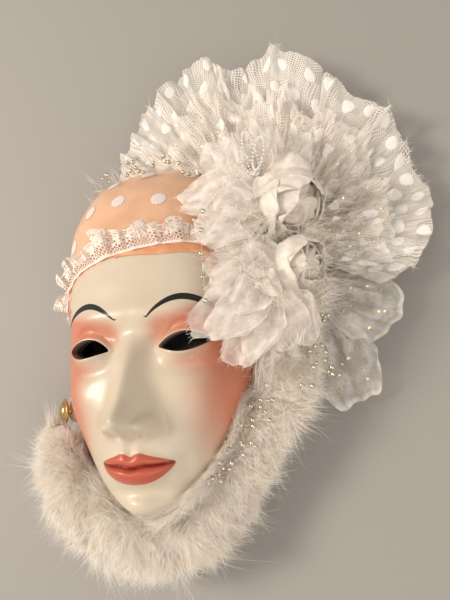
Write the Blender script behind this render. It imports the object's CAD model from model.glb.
import math

import bmesh
import bpy
import numpy as np
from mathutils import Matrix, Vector


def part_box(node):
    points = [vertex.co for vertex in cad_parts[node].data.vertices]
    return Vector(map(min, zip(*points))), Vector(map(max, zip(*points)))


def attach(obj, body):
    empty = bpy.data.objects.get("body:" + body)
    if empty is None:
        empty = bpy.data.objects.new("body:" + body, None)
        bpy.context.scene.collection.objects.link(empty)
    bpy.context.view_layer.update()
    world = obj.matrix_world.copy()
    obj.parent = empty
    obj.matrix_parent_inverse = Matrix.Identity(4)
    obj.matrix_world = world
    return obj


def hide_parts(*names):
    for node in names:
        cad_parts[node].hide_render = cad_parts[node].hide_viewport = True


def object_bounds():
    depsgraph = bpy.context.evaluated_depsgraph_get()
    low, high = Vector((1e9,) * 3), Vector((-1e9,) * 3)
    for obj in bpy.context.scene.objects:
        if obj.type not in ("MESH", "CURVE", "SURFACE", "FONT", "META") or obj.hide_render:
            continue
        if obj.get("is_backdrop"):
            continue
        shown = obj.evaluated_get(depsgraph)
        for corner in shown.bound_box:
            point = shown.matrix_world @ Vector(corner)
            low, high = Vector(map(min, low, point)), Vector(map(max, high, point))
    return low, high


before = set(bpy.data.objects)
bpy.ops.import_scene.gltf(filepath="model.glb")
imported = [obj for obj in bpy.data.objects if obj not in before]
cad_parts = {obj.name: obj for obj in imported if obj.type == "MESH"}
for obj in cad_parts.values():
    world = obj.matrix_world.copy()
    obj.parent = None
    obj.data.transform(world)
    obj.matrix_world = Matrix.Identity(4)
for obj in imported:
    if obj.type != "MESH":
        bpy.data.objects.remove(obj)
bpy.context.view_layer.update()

# Camera: the mask lies on its back rim, and the camera looks down on it from a third of a metre up,
# at the face's right and level with the nose, so near that this side of the face looms.
# There are no free cords on this piece.
face_low, face_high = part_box("face_mask")
CHIN_BELOW_EYES = 0.110
CAMERA_FROM_EYES = (0.1294, -0.0280, 0.3319)
CAMERA_TURN = (9.544, 15.620, -3.817)
EYE_LINE = Vector(((face_low[0] + face_high[0]) / 2, face_low[1] + CHIN_BELOW_EYES, 0.0))
camera_data = bpy.data.cameras.new("photo_camera")
camera_data.sensor_width = 36.0
camera_data.lens = 28.5
camera_data.clip_start = 0.01
camera = bpy.data.objects.new("photo_camera", camera_data)
bpy.context.scene.collection.objects.link(camera)
camera.location = EYE_LINE + Vector(CAMERA_FROM_EYES)
camera.rotation_euler = [math.radians(turn) for turn in CAMERA_TURN]
bpy.context.scene.camera = camera

# Face mask: one slip-cast ceramic shell with cut-out eyes and small ear lobes, glazed ivory over
# airbrushed coral, red lips and thin black brows. It is open behind and lies on its flat back rim.
# The form is worked out as heights over an egg-shaped dome, in millimetres from the eye line.
CHIN, CROWN, WIDEST = -110.0, 118.0, 24.0
HALF_WIDTH, DEPTH, WALL = 74.0, 73.0, 5.0
EYE_X, EYE_HALF = 32.0, 16.0
MOUTH, MOUTH_HALF = -68.6, 23.5
FACE_COLUMNS, FACE_ROWS = 186, 232
# height along the nose, bridge height, half width
NOSE = np.array(
    [
        [-60, 0, 10],
        [-54, 4.5, 10],
        [-50, 12.5, 10.2],
        [-46, 20.5, 9.8],
        [-42, 23.2, 9.4],
        [-37, 22.4, 9.0],
        [-30, 19.4, 8.2],
        [-20, 14.6, 7.4],
        [-10, 9.5, 7.0],
        [0, 4.0, 7.2],
        [8, 1.0, 7.8],
        [16, 0, 10],
    ]
)


def step(a, b, t):
    s = np.clip((t - a) / (b - a), 0, 1)
    return s * s * (3 - 2 * s)


def hill(x, y, cx, cy, sx, sy, turn=0.0, power=2.0):
    c, s = math.cos(turn), math.sin(turn)
    u = (x - cx) * c + (y - cy) * s
    v = (y - cy) * c - (x - cx) * s
    return np.exp(-(np.abs(u / sx) ** power + np.abs(v / sy) ** power))


def through(rows, at, column):
    places, values = rows[:, 0], rows[:, column]
    slopes = np.gradient(values, places)
    at = np.clip(at, places[0], places[-1])
    i = np.clip(np.searchsorted(places, at) - 1, 0, len(places) - 2)
    h = places[i + 1] - places[i]
    t = (at - places[i]) / h
    return (
        (1 + 2 * t) * (1 - t) ** 2 * values[i]
        + t * (1 - t) ** 2 * h * slopes[i]
        + t * t * (3 - 2 * t) * values[i + 1]
        + t * t * (t - 1) * h * slopes[i + 1]
    )


def rim_half(y):
    up = np.clip((y - WIDEST) / (CROWN - WIDEST), 0, 1)
    down = np.clip((WIDEST - y) / (WIDEST - CHIN), 0, 1)
    return np.where(
        y > WIDEST,
        HALF_WIDTH * (1 - up**2.7) ** (1 / 2.25),
        HALF_WIDTH * (1 - down**2.35) ** (1 / 1.75),
    )


# how far the rim is in every direction, tabled once
RIM_ANGLES = np.linspace(-math.pi, math.pi, 1441)
rim_near, rim_far = np.zeros_like(RIM_ANGLES), np.full_like(RIM_ANGLES, 200.0)
for _ in range(40):
    rim_mid = (rim_near + rim_far) / 2
    rim_y = rim_mid * np.sin(RIM_ANGLES)
    inside = (rim_y > CHIN) & (rim_y < CROWN) & (rim_mid * np.abs(np.cos(RIM_ANGLES)) < rim_half(rim_y))
    rim_near = np.where(inside, rim_mid, rim_near)
    rim_far = np.where(inside, rim_far, rim_mid)


def rim_radius(angle):
    return np.interp(angle, RIM_ANGLES, rim_near)


def dome(share, angle):
    down = np.clip(-np.sin(angle), 0, 1) ** 2
    up = np.clip(np.sin(angle), 0, 1) ** 2
    bulge = 2.7 + 1.9 * down - 0.1 * up
    return (1 - np.clip(share, 0, 1) ** bulge) ** (1 / (1.75 + 0.25 * down))


def on_head(angle, share, grow=0.0):
    radius = (rim_radius(angle) + grow) * share
    return np.stack([radius * np.cos(angle), radius * np.sin(angle), (DEPTH + grow) * dome(share, angle)], -1)


def over_head(x, y, grow=0.0):
    angle = np.arctan2(y, x)
    share = np.hypot(x, y) / (rim_radius(angle) + grow)
    return np.stack([x, y, (DEPTH + grow) * dome(share, angle)], -1)


def eye_edges(x):
    t = np.clip((np.abs(x) - (EYE_X - EYE_HALF)) / (2 * EYE_HALF), 0, 1)
    tilt = 2.6 * (t - 0.4)
    return (
        7.4 * np.sin(np.pi * t**0.9) ** 0.85 + tilt,
        -5.4 * np.sin(np.pi * t**1.15) ** 0.9 + tilt,
    )


def lip_lines(x):
    t = np.clip(np.abs(x) / MOUTH_HALF, 0, 1)
    bow = np.exp(-((x / 3.2) ** 2))
    peak = np.exp(-(((np.abs(x) - 5.4) / 3.8) ** 2))
    middle = MOUTH + 1.7 * t**2
    parting = middle - 0.7 * np.exp(-((x / 4) ** 2)) + 0.4 * np.exp(-(((np.abs(x) - 8) / 4.5) ** 2))
    top = middle + 8.0 * (1 - t**1.6) ** 0.85 * (1 - 0.24 * bow) + 0.8 * peak
    return top, parting, middle - 10.2 * (1 - t**2.2) ** 0.75


def lid_relief(x, y):
    upper, lower = eye_edges(x)
    t = (np.abs(x) - EYE_X) / EYE_HALF
    inner = np.clip(t, -1, 1)
    near = np.exp(-np.clip(np.abs(t) - 0.93, 0, 9) ** 2 / 0.02)
    rolls = 1.5 * np.exp(-(((y - upper - 0.9) / 1.6) ** 2)) + 1.1 * np.exp(-(((y - lower + 0.9) / 1.5) ** 2))
    crease = np.exp(-(((y - upper - 6.0 * np.cos(inner * 1.15)) / 1.5) ** 2))
    return near * (rolls - 1.4 * crease * (1 - inner**4))


def lip_relief(x, y):
    top, parting, bottom = lip_lines(x)
    t = np.clip(np.abs(x) / MOUTH_HALF, 0, 1)
    up = (y - parting) / np.maximum(top - parting, 0.3)
    down = (parting - y) / np.maximum(parting - bottom, 0.3)
    upper = 3.2 * np.exp(-(((up - 0.42) / 0.62) ** 2)) * step(-0.5, 0.35, up)
    lower = 4.8 * np.exp(-(((down - 0.46) / 0.58) ** 2)) * step(-0.5, 0.35, down)
    groove = -1.7 * np.exp(-(((y - parting) / 1.5) ** 2)) * np.clip(1.15 - t, 0, 1) ** 0.4 * (t < 1)
    return np.where(y > parting, upper, lower) * (1 - t**3) + groove


def face_relief(x, y):
    ax = np.abs(x)
    brow = 2.4 * hill(ax, y, 28, 20, 23, 7, 0.04) + 1.2 * hill(x, y, 0, 21, 12, 9)
    socket = -6.8 * hill(ax, y, 25, 7.5, 17, 8, -0.05) - 5 * hill(ax, y, 14.5, -1, 7.5, 10)
    socket = socket - 1.6 * hill(ax, y, 32, -14, 16, 4.2, -0.1) - 2.6 * hill(x, y, 0, 9, 9, 8)
    eyeball = 8.2 * hill(ax, y, 32, -0.5, 14.5, 9.5)
    cheek = 4.4 * hill(ax, y, 42, -28, 17, 14, 0.35) - 2.6 * hill(ax, y, 45, -63, 14, 18, 0.3)
    cheek = cheek - 2.5 * hill(ax, y, 63, 22, 10, 22)
    height, half = through(NOSE, y, 1), through(NOSE, y, 2)
    nose = height * (0.76 * np.exp(-((ax / half) ** 2)) + 0.24 * np.exp(-((ax / (half * 1.9)) ** 2)))
    nose = nose + 3.2 * hill(x, y, 0, -41.5, 7.2, 6.0, 0, 2.4)
    nose = nose + 7.6 * hill(ax, y, 12.0, -45.4, 5.0, 5.4, 0.15, 2.6)
    nose = nose - 2.0 * hill(ax, y, 19.6, -45, 3.4, 8, 0.2) - 1.3 * hill(ax, y, 8.0, -41.5, 2.0, 5.0, -0.35)
    nose = nose - 4.6 * hill(ax, y, 6.8, -50.6, 3.4, 2.1, 0.3) + 1.2 * hill(x, y, 0, -51, 2.2, 3.2)
    muzzle = 6 * hill(x, y, 0, -66, 27, 20) - 1.3 * hill(x, y, 0, -57.5, 2.6, 4.6)
    muzzle = muzzle + 0.7 * hill(ax, y, 4.6, -58, 2.2, 4.6) - 1.8 * hill(ax, y, 27.5, -68, 5.5, 7)
    chin = 15 * hill(x, y, 0, -98, 20, 13) + 5 * hill(ax, y, 25, -92, 17, 14, 0.5)
    chin = chin - 3.2 * hill(x, y, 0, -84, 19, 4.8)
    return brow + socket + eyeball + cheek + nose + muzzle + chin + lid_relief(x, y) + lip_relief(x, y)


def back_relief(x, y):
    ax = np.abs(x)
    return (
        -6.5 * hill(ax, y, 26, 3, 24, 14)
        + 9 * hill(x, y, 0, -36, 9, 16)
        + 8 * hill(x, y, 0, -90, 20, 12)
        - 1.5 * hill(ax, y, 45, -63, 14, 18)
    )


def crowd(places, hills):
    fine = np.linspace(-1, 1, 1201)
    density = 1 + sum(more * np.exp(-(((fine - middle) / reach) ** 2)) for middle, reach, more in hills)
    sums = np.concatenate([[0], np.cumsum((density[1:] + density[:-1]) / 2)])
    return np.interp((places + 1) / 2 * sums[-1], sums, fine)


def clear_selection():
    if bpy.context.object and bpy.context.object.mode != "OBJECT":
        bpy.ops.object.mode_set(mode="OBJECT")
    bpy.ops.object.select_all(action="DESELECT")


def read_places(piece):
    places = np.empty(len(piece.data.vertices) * 3)
    piece.data.vertices.foreach_get("co", places)
    return places.reshape(-1, 3)


def set_places(piece, millimetres):
    metres = millimetres * 0.001 + np.array(EYE_LINE)
    piece.data.vertices.foreach_set("co", metres.ravel())
    piece.data.update()


def new_primitive(add, **sizes):
    clear_selection()
    add(**sizes)
    return bpy.context.object, read_places(bpy.context.object)


def new_grid(name, columns, rows):
    sizes = {"x_subdivisions": columns, "y_subdivisions": rows, "size": 2}
    grid, unit = new_primitive(bpy.ops.mesh.primitive_grid_add, **sizes)
    grid.name = name
    grid.data.name = name
    return grid, unit


def apply_modifier(piece, kind, **settings):
    clear_selection()
    bpy.context.view_layer.objects.active = piece
    piece.select_set(True)
    modifier = piece.modifiers.new(kind.lower(), kind)
    for key, value in settings.items():
        setattr(modifier, key, value)
    bpy.ops.object.modifier_apply(modifier=modifier.name)


def smooth_shaded(piece, angle=None):
    clear_selection()
    bpy.context.view_layer.objects.active = piece
    piece.select_set(True)
    if angle is None:
        bpy.ops.object.shade_smooth()
    else:
        bpy.ops.object.shade_smooth_by_angle(angle=math.radians(angle))
    piece.select_set(False)


def join_pieces(pieces, name):
    clear_selection()
    for piece in pieces:
        piece.select_set(True)
    bpy.context.view_layer.objects.active = pieces[0]
    bpy.ops.object.join()
    pieces[0].name = name
    pieces[0].data.name = name
    return pieces[0]


face_mask, grid_places = new_grid("ceramic_face", FACE_COLUMNS, FACE_ROWS)
column = crowd(grid_places[:, 0], [(0, 0.2, 0.9), (0.3, 0.12, 0.5), (-0.3, 0.12, 0.5)])
row = crowd(grid_places[:, 1], [(-0.39, 0.1, 1.6), (-0.22, 0.08, 0.8), (0, 0.12, 1.3)])
disc_x = column * np.sqrt(1 - row**2 / 2)
disc_y = row * np.sqrt(1 - column**2 / 2)
angle = np.arctan2(disc_y, disc_x)
share = np.sin(np.pi / 2 * np.minimum(1, np.hypot(disc_x, disc_y)) ** 0.9)
plan = on_head(angle, share)[:, :2]

# the eye openings are cut out of the grid and their edges drawn to the almond outline
opening_t = np.sin(np.linspace(-1, 1, 500) * np.pi / 2) * EYE_HALF * 0.995 + EYE_X
opening = np.concatenate(
    [
        np.stack([opening_t, eye_edges(opening_t)[1]], -1),
        np.stack([opening_t[::-1], eye_edges(opening_t[::-1])[0]], -1),
    ]
)
upper_lid, lower_lid = eye_edges(plan[:, 0])
in_eye = np.abs(np.abs(plan[:, 0]) - EYE_X) < EYE_HALF * 0.99
in_eye = in_eye & (plan[:, 1] < upper_lid) & (plan[:, 1] > lower_lid)
for index in np.flatnonzero(in_eye):
    side = 1 if plan[index, 0] > 0 else -1
    gaps = np.hypot(opening[:, 0] - side * plan[index, 0], opening[:, 1] - plan[index, 1])
    nearest = opening[np.argmin(gaps)]
    plan[index] = (side * nearest[0], nearest[1])
clear_selection()
bpy.context.view_layer.objects.active = face_mask
bpy.ops.object.mode_set(mode="EDIT")
bpy.ops.mesh.select_all(action="DESELECT")
bpy.ops.object.mode_set(mode="OBJECT")
for polygon in face_mask.data.polygons:
    polygon.select = all(in_eye[k] for k in polygon.vertices)
bpy.context.tool_settings.mesh_select_mode = (False, False, True)
still_used = np.zeros(len(grid_places), bool)
for polygon in face_mask.data.polygons:
    if not polygon.select:
        still_used[list(polygon.vertices)] = True
bpy.ops.object.mode_set(mode="EDIT")
bpy.ops.mesh.delete(type="FACE")
bpy.ops.object.mode_set(mode="OBJECT")
bpy.context.tool_settings.mesh_select_mode = (True, False, False)
kept = np.flatnonzero(still_used)
plan, share = plan[kept], share[kept]
angle = np.arctan2(plan[:, 1], plan[:, 0])
share = np.clip(np.hypot(plan[:, 0], plan[:, 1]) / rim_radius(angle), 0, 1)
on_opening = in_eye[kept]

# the wall is added as a second skin and then drawn to the smoother hollow back
apply_modifier(face_mask, "SOLIDIFY", thickness=0.004, offset=-1)
count = len(kept)
front = over_head(plan[:, 0], plan[:, 1])
front[:, 2] += face_relief(plan[:, 0], plan[:, 1]) * (1 - step(0.86, 1.0, share))
radius = rim_radius(angle)
shrink = (radius - WALL * step(0.7, 1.0, share)) / radius
back_plan = plan * np.where(on_opening, 1.0, shrink)[:, None]
back = over_head(back_plan[:, 0], back_plan[:, 1], -WALL)
back[:, 2] = np.where(share > 0.9999, 0, back[:, 2])
back[:, 2] += back_relief(back_plan[:, 0], back_plan[:, 1]) * (1 - step(0.8, 1.0, share))
back[:, 2] = np.minimum(back[:, 2], front[:, 2] - 2.2 * (share < 0.97))
set_places(face_mask, np.concatenate([front, back]))

# make-up as measures on the surface: how far inside the lips and brows, and how much coral
ax = np.abs(front[:, 0])
y = front[:, 1]
top, parting, bottom = lip_lines(front[:, 0])
lip_inside = np.minimum(np.minimum(top - y, y - bottom), (MOUTH_HALF - ax) * 0.5)
brow_t = np.clip((ax - 11) / 48, 0, 1)
brow_line = 17.5 + 11.5 * np.sin(np.pi * brow_t**0.86) ** 1.1 - 1.5 * brow_t
brow_slope = np.gradient(17.5 + 11.5 * np.sin(np.pi * np.linspace(0, 1, 200) ** 0.86) ** 1.1) * 200 / 48
slope_here = np.interp(brow_t, np.linspace(0, 1, 200), brow_slope)
brow_offset = (y - brow_line) / np.sqrt(1 + slope_here**2)
upper, lower = eye_edges(front[:, 0])
shadow = (
    1.0 * hill(ax, y, 35, 13.5, 25, 8.5, 0.12, 2.6)
    + 0.95 * hill(ax, y, 54, 5, 13, 15, 0.5)
    + 0.45 * hill(ax, y, 38, -11, 20, 5.5)
    + 0.4 * hill(ax, y, 15, 6, 6, 10)
)
shadow = shadow * (1 - step(brow_line - 2.5, brow_line + 2.5, y) * (ax > 8))
blush = (
    1.15 * hill(ax, y, 62, -32, 25, 33, 0.25)
    + 0.7 * hill(ax, y, 67, -4, 15, 26)
    + 0.35 * hill(ax, y, 48, -58, 18, 22, 0.4)
    + 0.8 * hill(-front[:, 0], y, 56, -38, 19, 30)
)
measures = {
    "lip_inside": lip_inside,
    "brow_offset": brow_offset,
    "brow_along": (ax - 11) / 48,
    "coral": np.clip(shadow + blush, 0, 1.15),
    "lip_parting": y - parting,
    "lid_edge": np.exp(-((y - upper - 0.2) / 0.9) ** 2) * (np.abs(ax - EYE_X) < EYE_HALF * 1.03),
    "hollow_side": np.zeros(count),
}
# the same measures where nothing is painted: on the ear lobes, and inside the shell but for the last
UNPAINTED = {
    "lip_inside": -2,
    "brow_offset": 9,
    "brow_along": 0,
    "coral": 0.12,
    "lip_parting": 9,
    "lid_edge": 0,
    "hollow_side": 0,
}


def keep_measure(piece, label, values):
    layer = piece.data.attributes.new(label, "FLOAT", "POINT")
    layer.data.foreach_set("value", values)


for label, values in measures.items():
    inside = 1 if label == "hollow_side" else UNPAINTED[label]
    keep_measure(face_mask, label, np.concatenate([values, np.full(count, inside)]))

LOBE_RADII, LOBE_MIDDLE = (6.0, 12.0, 7.0), (70.5, -33.0, 20.0)
lobes = []
for side in (-1, 1):
    lobe, unit = new_primitive(bpy.ops.mesh.primitive_uv_sphere_add, segments=32, ring_count=20, radius=1)
    dent = 1 - 0.22 * np.exp(-(((unit[:, 1] - 0.1) / 0.5) ** 2 + ((unit[:, 2] - 0.75) / 0.45) ** 2))
    shaped = unit * LOBE_RADII * dent[:, None]
    turn = 0.12 * side
    turned = np.stack(
        [
            shaped[:, 0] * math.cos(turn) - shaped[:, 1] * math.sin(turn),
            shaped[:, 0] * math.sin(turn) + shaped[:, 1] * math.cos(turn),
            shaped[:, 2],
        ],
        -1,
    )
    set_places(lobe, turned + np.array(LOBE_MIDDLE) * (side, 1, 1))
    for label, value in UNPAINTED.items():
        keep_measure(lobe, label, np.full(len(unit), value, float))
    lobes.append(lobe)
face_mask = join_pieces([face_mask, *lobes], "ceramic_face")
smooth_shaded(face_mask, 50)


def new_finish(name):
    finish = bpy.data.materials.new(name)
    finish.use_nodes = True
    return finish, finish.node_tree, finish.node_tree.nodes["Principled BSDF"]


def node(tree, kind, inputs=(), **settings):
    made = tree.nodes.new(kind)
    for key, value in settings.items():
        setattr(made, key, value)
    for key, value in dict(inputs).items():
        if isinstance(value, bpy.types.NodeSocket):
            tree.links.new(value, made.inputs[key])
        else:
            made.inputs[key].default_value = value
    return made


def calc(tree, operation, *values):
    made = tree.nodes.new("ShaderNodeMath")
    made.operation = operation
    for socket, value in zip(made.inputs, values):
        if isinstance(value, bpy.types.NodeSocket):
            tree.links.new(value, socket)
        else:
            socket.default_value = value
    return made.outputs[0]


def mixed(tree, factor, first, second):
    mix = node(tree, "ShaderNodeMix", data_type="RGBA")
    for socket, value in ((0, factor), (6, first), (7, second)):
        if isinstance(value, bpy.types.NodeSocket):
            tree.links.new(value, mix.inputs[socket])
        else:
            mix.inputs[socket].default_value = value
    return mix.outputs[2]


def ranged(tree, value, low, high, to_low=0.0, to_high=1.0):
    made = node(
        tree,
        "ShaderNodeMapRange",
        {"Value": value, "From Min": low, "From Max": high, "To Min": to_low, "To Max": to_high},
        interpolation_type="SMOOTHSTEP",
    )
    return made.outputs["Result"]


def object_noise(tree, scale, detail=3.0, rough=0.5):
    place = node(tree, "ShaderNodeTexCoord").outputs["Object"]
    settings = {"Vector": place, "Scale": scale, "Detail": detail, "Roughness": rough}
    return node(tree, "ShaderNodeTexNoise", settings)


def bumped(tree, shader, height, strength, distance):
    bump = node(tree, "ShaderNodeBump", {"Height": height, "Strength": strength, "Distance": distance})
    tree.links.new(bump.outputs["Normal"], shader.inputs["Normal"])


def measure(tree, name):
    return node(tree, "ShaderNodeAttribute", attribute_name=name, attribute_type="GEOMETRY").outputs["Fac"]


IVORY = (0.70, 0.615, 0.49, 1)
IVORY_DEEP = (0.65, 0.55, 0.42, 1)
CORAL = (0.62, 0.17, 0.085, 1)
LIP_RED = (0.55, 0.11, 0.06, 1)
LIP_DEEP = (0.24, 0.02, 0.012, 1)
BROW_BLACK = (0.004, 0.003, 0.003, 1)
INSIDE_CLAY = (0.055, 0.042, 0.036, 1)
glaze, tree, shader = new_finish("painted_glaze")
cloudy = object_noise(tree, 22, 4)
base = mixed(tree, ranged(tree, cloudy.outputs["Fac"], 0.35, 0.7), IVORY, IVORY_DEEP)
speckled = object_noise(tree, 900, 2)
speckles = ranged(tree, speckled.outputs["Fac"], 0.3, 0.7, 0.86, 1.0)
sprayed = calc(tree, "MULTIPLY", measure(tree, "coral"), speckles)
base = mixed(tree, ranged(tree, sprayed, 0.02, 1.15, 0.0, 0.86), base, CORAL)
base = mixed(tree, ranged(tree, measure(tree, "lid_edge"), 0.3, 1.0, 0.0, 0.55), base, IVORY)
from_parting = calc(tree, "ABSOLUTE", measure(tree, "lip_parting"))
lip_colour = mixed(tree, ranged(tree, from_parting, 0.2, 1.6), LIP_DEEP, LIP_RED)
base = mixed(tree, ranged(tree, measure(tree, "lip_inside"), -0.25, 0.35), base, lip_colour)
brow_middle = calc(tree, "MULTIPLY", calc(tree, "ADD", measure(tree, "brow_along"), 0.06), 2.85)
brow_middle = calc(tree, "SINE", brow_middle)
brow_half = calc(tree, "MULTIPLY", calc(tree, "POWER", calc(tree, "MAXIMUM", brow_middle, 0.0), 0.8), 2.2)
brow_inside = calc(tree, "SUBTRACT", brow_half, calc(tree, "ABSOLUTE", measure(tree, "brow_offset")))
brow_inside = calc(tree, "MULTIPLY", brow_inside, ranged(tree, measure(tree, "brow_along"), 1.02, 0.96))
base = mixed(tree, ranged(tree, brow_inside, 0.0, 0.3), base, BROW_BLACK)
base = mixed(tree, measure(tree, "hollow_side"), base, INSIDE_CLAY)
tree.links.new(base, shader.inputs["Base Color"])
tree.links.new(ranged(tree, measure(tree, "hollow_side"), 0.4, 0.6, 0.38, 0.85), shader.inputs["Roughness"])
shader.inputs["Coat Weight"].default_value = 0.14
shader.inputs["Coat Roughness"].default_value = 0.12
shader.inputs["IOR"].default_value = 1.5
bumped(tree, shader, object_noise(tree, 140, 3).outputs["Fac"], 0.05, 0.001)


def dressed(piece, finish, slot, *nodes):
    piece.data.materials.append(finish)
    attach(piece, "root")
    if nodes:
        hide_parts(*nodes)


dressed(face_mask, glaze, "ivory_glaze", "face_mask")

# Cap: peach satin stretched over a pad on the crown, with fine dotted net stretched over it. The two
# are glued down together along the hairline and turned under behind the rim.
CAP_CLOTH, CAP_PADDING = 2.6, 20.0
HAIRLINE = np.array(
    [
        [-86, -6],
        [-73, 16],
        [-63, 36],
        [-48, 50],
        [-24, 58],
        [0, 62],
        [22, 64],
        [42, 63],
        [51, 56],
        [54, 44],
        [60, 30],
        [70, 14],
        [86, -6],
    ],
    float,
)
CAP_DOT_RADIUS = 5.2


def spline(points, t):
    last = len(points) - 1
    at = np.clip(np.asarray(t, float), 0, 1) * last
    i = np.minimum(np.floor(at).astype(int), last - 1)
    w = (at - i)[..., None]
    p0, p1 = points[np.maximum(i - 1, 0)], points[i]
    p2, p3 = points[i + 1], points[np.minimum(i + 2, last)]
    v0, v1 = (p2 - p0) / 2, (p3 - p1) / 2
    return (2 * p1 - 2 * p2 + v0 + v1) * w**3 + (-3 * p1 + 3 * p2 - 2 * v0 - v1) * w**2 + v0 * w + p1


def direction(vectors):
    return vectors / np.linalg.norm(vectors, axis=-1, keepdims=True)


def wander(at, seed, waves):
    """A smooth wavering line between about -1 and 1."""
    draw = np.random.default_rng(seed)
    sums = 0.0
    for k in range(5):
        wave = 2 * np.pi * waves * (0.55 + 0.3 * k) * at + draw.uniform(0, 6.28)
        sums = sums + np.sin(wave) / (1 + 0.35 * k)
    return sums / 2.2


def cap_grow(x, y):
    return CAP_CLOTH + CAP_PADDING * step(52, 125, y - 0.12 * x)


hair_points = spline(HAIRLINE, np.linspace(0, 1, 800))
hair_angle = np.arctan2(hair_points[:, 1], hair_points[:, 0])
hair_angle = np.where(hair_angle < -math.pi / 2, hair_angle + 2 * math.pi, hair_angle)[::-1]
hair_radius = np.hypot(hair_points[:, 0], hair_points[:, 1])[::-1]
crosses = hair_radius < rim_radius(hair_angle) + CAP_CLOTH
cap_angles = hair_angle[crosses][[0, -1]]


def cap_place(u, v, lift=0.0):
    turn = cap_angles[1] + (cap_angles[0] - cap_angles[1]) * u
    start = np.minimum(1, np.interp(turn, hair_angle, hair_radius) / (rim_radius(turn) + CAP_CLOTH))
    share = start + (1 - start) * np.sin(np.pi / 2 * np.clip(v / 0.9, 0, 1))
    flat = on_head(turn, share)
    seated = step(0, 0.055, share - start)
    tucked = 1.25 * np.exp(-(((share - start) / 0.012) ** 2))
    grow = 0.5 + (cap_grow(flat[..., 0], flat[..., 1]) - 0.5) * seated - tucked
    near_line = np.exp(-((share - start) / 0.05) ** 2)
    puckers = 0.35 * np.sin(turn * 46 + 2 * np.sin(turn * 9)) * near_line
    pulls = 0.5 * np.sin(turn * 31 + 3 * np.sin(turn * 5)) * step(0.8, 1.0, share)
    place = on_head(turn, share, grow + puckers + pulls + lift)
    turned_under = step(0.9, 1.0, v)[..., None]
    inside_rim = on_head(turn, np.ones_like(share), 0.8)
    hem = np.stack([inside_rim[..., 0], inside_rim[..., 1], np.full_like(share, 1.2)], -1)
    place[..., 2] = np.maximum(place[..., 2], 1.2 + 2.0 * np.clip(1 - turned_under[..., 0], 0, 1))
    return place * (1 - turned_under) + hem * turned_under


def lay_on(place, u, v, outline, lift=0.0):
    """A flat shape (mm) let into the cloth place(u, v) round one of its points, following its folds."""
    reach = np.abs(outline[:, :2]).max()
    h = 1e-3
    scale = []
    for du, dv in ((1, 0), (0, 1)):
        spot = place(np.array([u - h * du, u + h * du]), np.array([v - h * dv, v + h * dv]))
        half = reach / max(np.linalg.norm(spot[1] - spot[0]) / (2 * h), 1.0)
        run = np.linspace(-half, half, 25)
        line = place(u + run * du, v + run * dv)
        scale.append(np.linalg.norm(np.diff(line, axis=0), axis=-1).sum() / (2 * half))
    at_u = np.clip(u + outline[:, 0] / scale[0], h, 1 - h)
    at_v = np.clip(v + outline[:, 1] / scale[1], h, 1 - h)
    across = place(at_u + h, at_v) - place(at_u - h, at_v)
    normal = np.cross(across, place(at_u, at_v + h) - place(at_u, at_v - h))
    normal = normal / np.maximum(np.linalg.norm(normal, axis=-1, keepdims=True), 1e-9)
    normal = normal * np.where(normal[:, 2:3] < 0, -1, 1)
    return place(at_u, at_v) + normal * (lift + outline[:, 2:3])


def stitch_on(place, u, v, shape, lift=0.0):
    """A stiff shape (mm) fixed flat on the cloth place(u, v) at one of its points."""
    h = 1e-3
    spot = place(np.array([u, u + h, u]), np.array([v, v, v + h]))
    first, second = spot[1] - spot[0], spot[2] - spot[0]
    normal = np.cross(first, second)
    normal = normal / max(np.linalg.norm(normal), 1e-9) * (-1 if normal[2] < 0 else 1)
    first = first / max(np.linalg.norm(first), 1e-9)
    second = np.cross(normal, first)
    return spot[0] + shape[:, :1] * first + shape[:, 1:2] * second + (shape[:, 2:3] + lift) * normal


def copy_of(master, millimetres):
    made = master.copy()
    made.data = master.data.copy()
    bpy.context.scene.collection.objects.link(made)
    set_places(made, millimetres)
    return made


def remove(piece):
    bpy.data.objects.remove(piece, do_unlink=True)


def scalloped_dot(radius):
    dot, unit = new_grid("dot", 12, 12)
    x = unit[:, 0] * np.sqrt(1 - unit[:, 1] ** 2 / 2)
    y = unit[:, 1] * np.sqrt(1 - unit[:, 0] ** 2 / 2)
    out = np.hypot(x, y)
    scallop = 1 + 0.1 * np.cos(12 * np.arctan2(y, x)) * out**4
    return dot, np.stack([x * radius * scallop, y * radius * scallop, 0.45 * (1 - out**6)], -1)


def set_uv(piece, width, length):
    values = np.empty(len(piece.data.loops) * 2)
    piece.data.uv_layers[0].data.foreach_get("uv", values)
    piece.data.uv_layers[0].data.foreach_set("uv", (values.reshape(-1, 2) * (width, length)).ravel())


def draped_grid(name, columns, rows, place, flat):
    grid, unit = new_grid(name, columns, rows)
    set_places(grid, place((unit[:, 0] + 1) / 2, (unit[:, 1] + 1) / 2))
    set_uv(grid, *flat)
    return grid


def uv_axes(tree):
    split = node(tree, "ShaderNodeSeparateXYZ", {"Vector": node(tree, "ShaderNodeTexCoord").outputs["UV"]})
    return split.outputs["X"], split.outputs["Y"]


def hex_net(tree, x, y, cell):
    """1 on the threads of a hexagonal net and 0 in its holes."""
    k = 2 * math.pi / cell
    half = calc(tree, "MULTIPLY", x, k / 2)
    slant = calc(tree, "MULTIPLY", y, k * math.sqrt(3) / 2)
    waves = calc(tree, "COSINE", calc(tree, "MULTIPLY", x, k))
    waves = calc(tree, "ADD", waves, calc(tree, "COSINE", calc(tree, "SUBTRACT", slant, half)))
    return calc(tree, "ADD", waves, calc(tree, "COSINE", calc(tree, "ADD", slant, half)))


def declared_sheet(piece, finish, slot, flat, held, rests_on, *nodes):
    smooth_shaded(piece)
    dressed(piece, finish, slot, *nodes)


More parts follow.
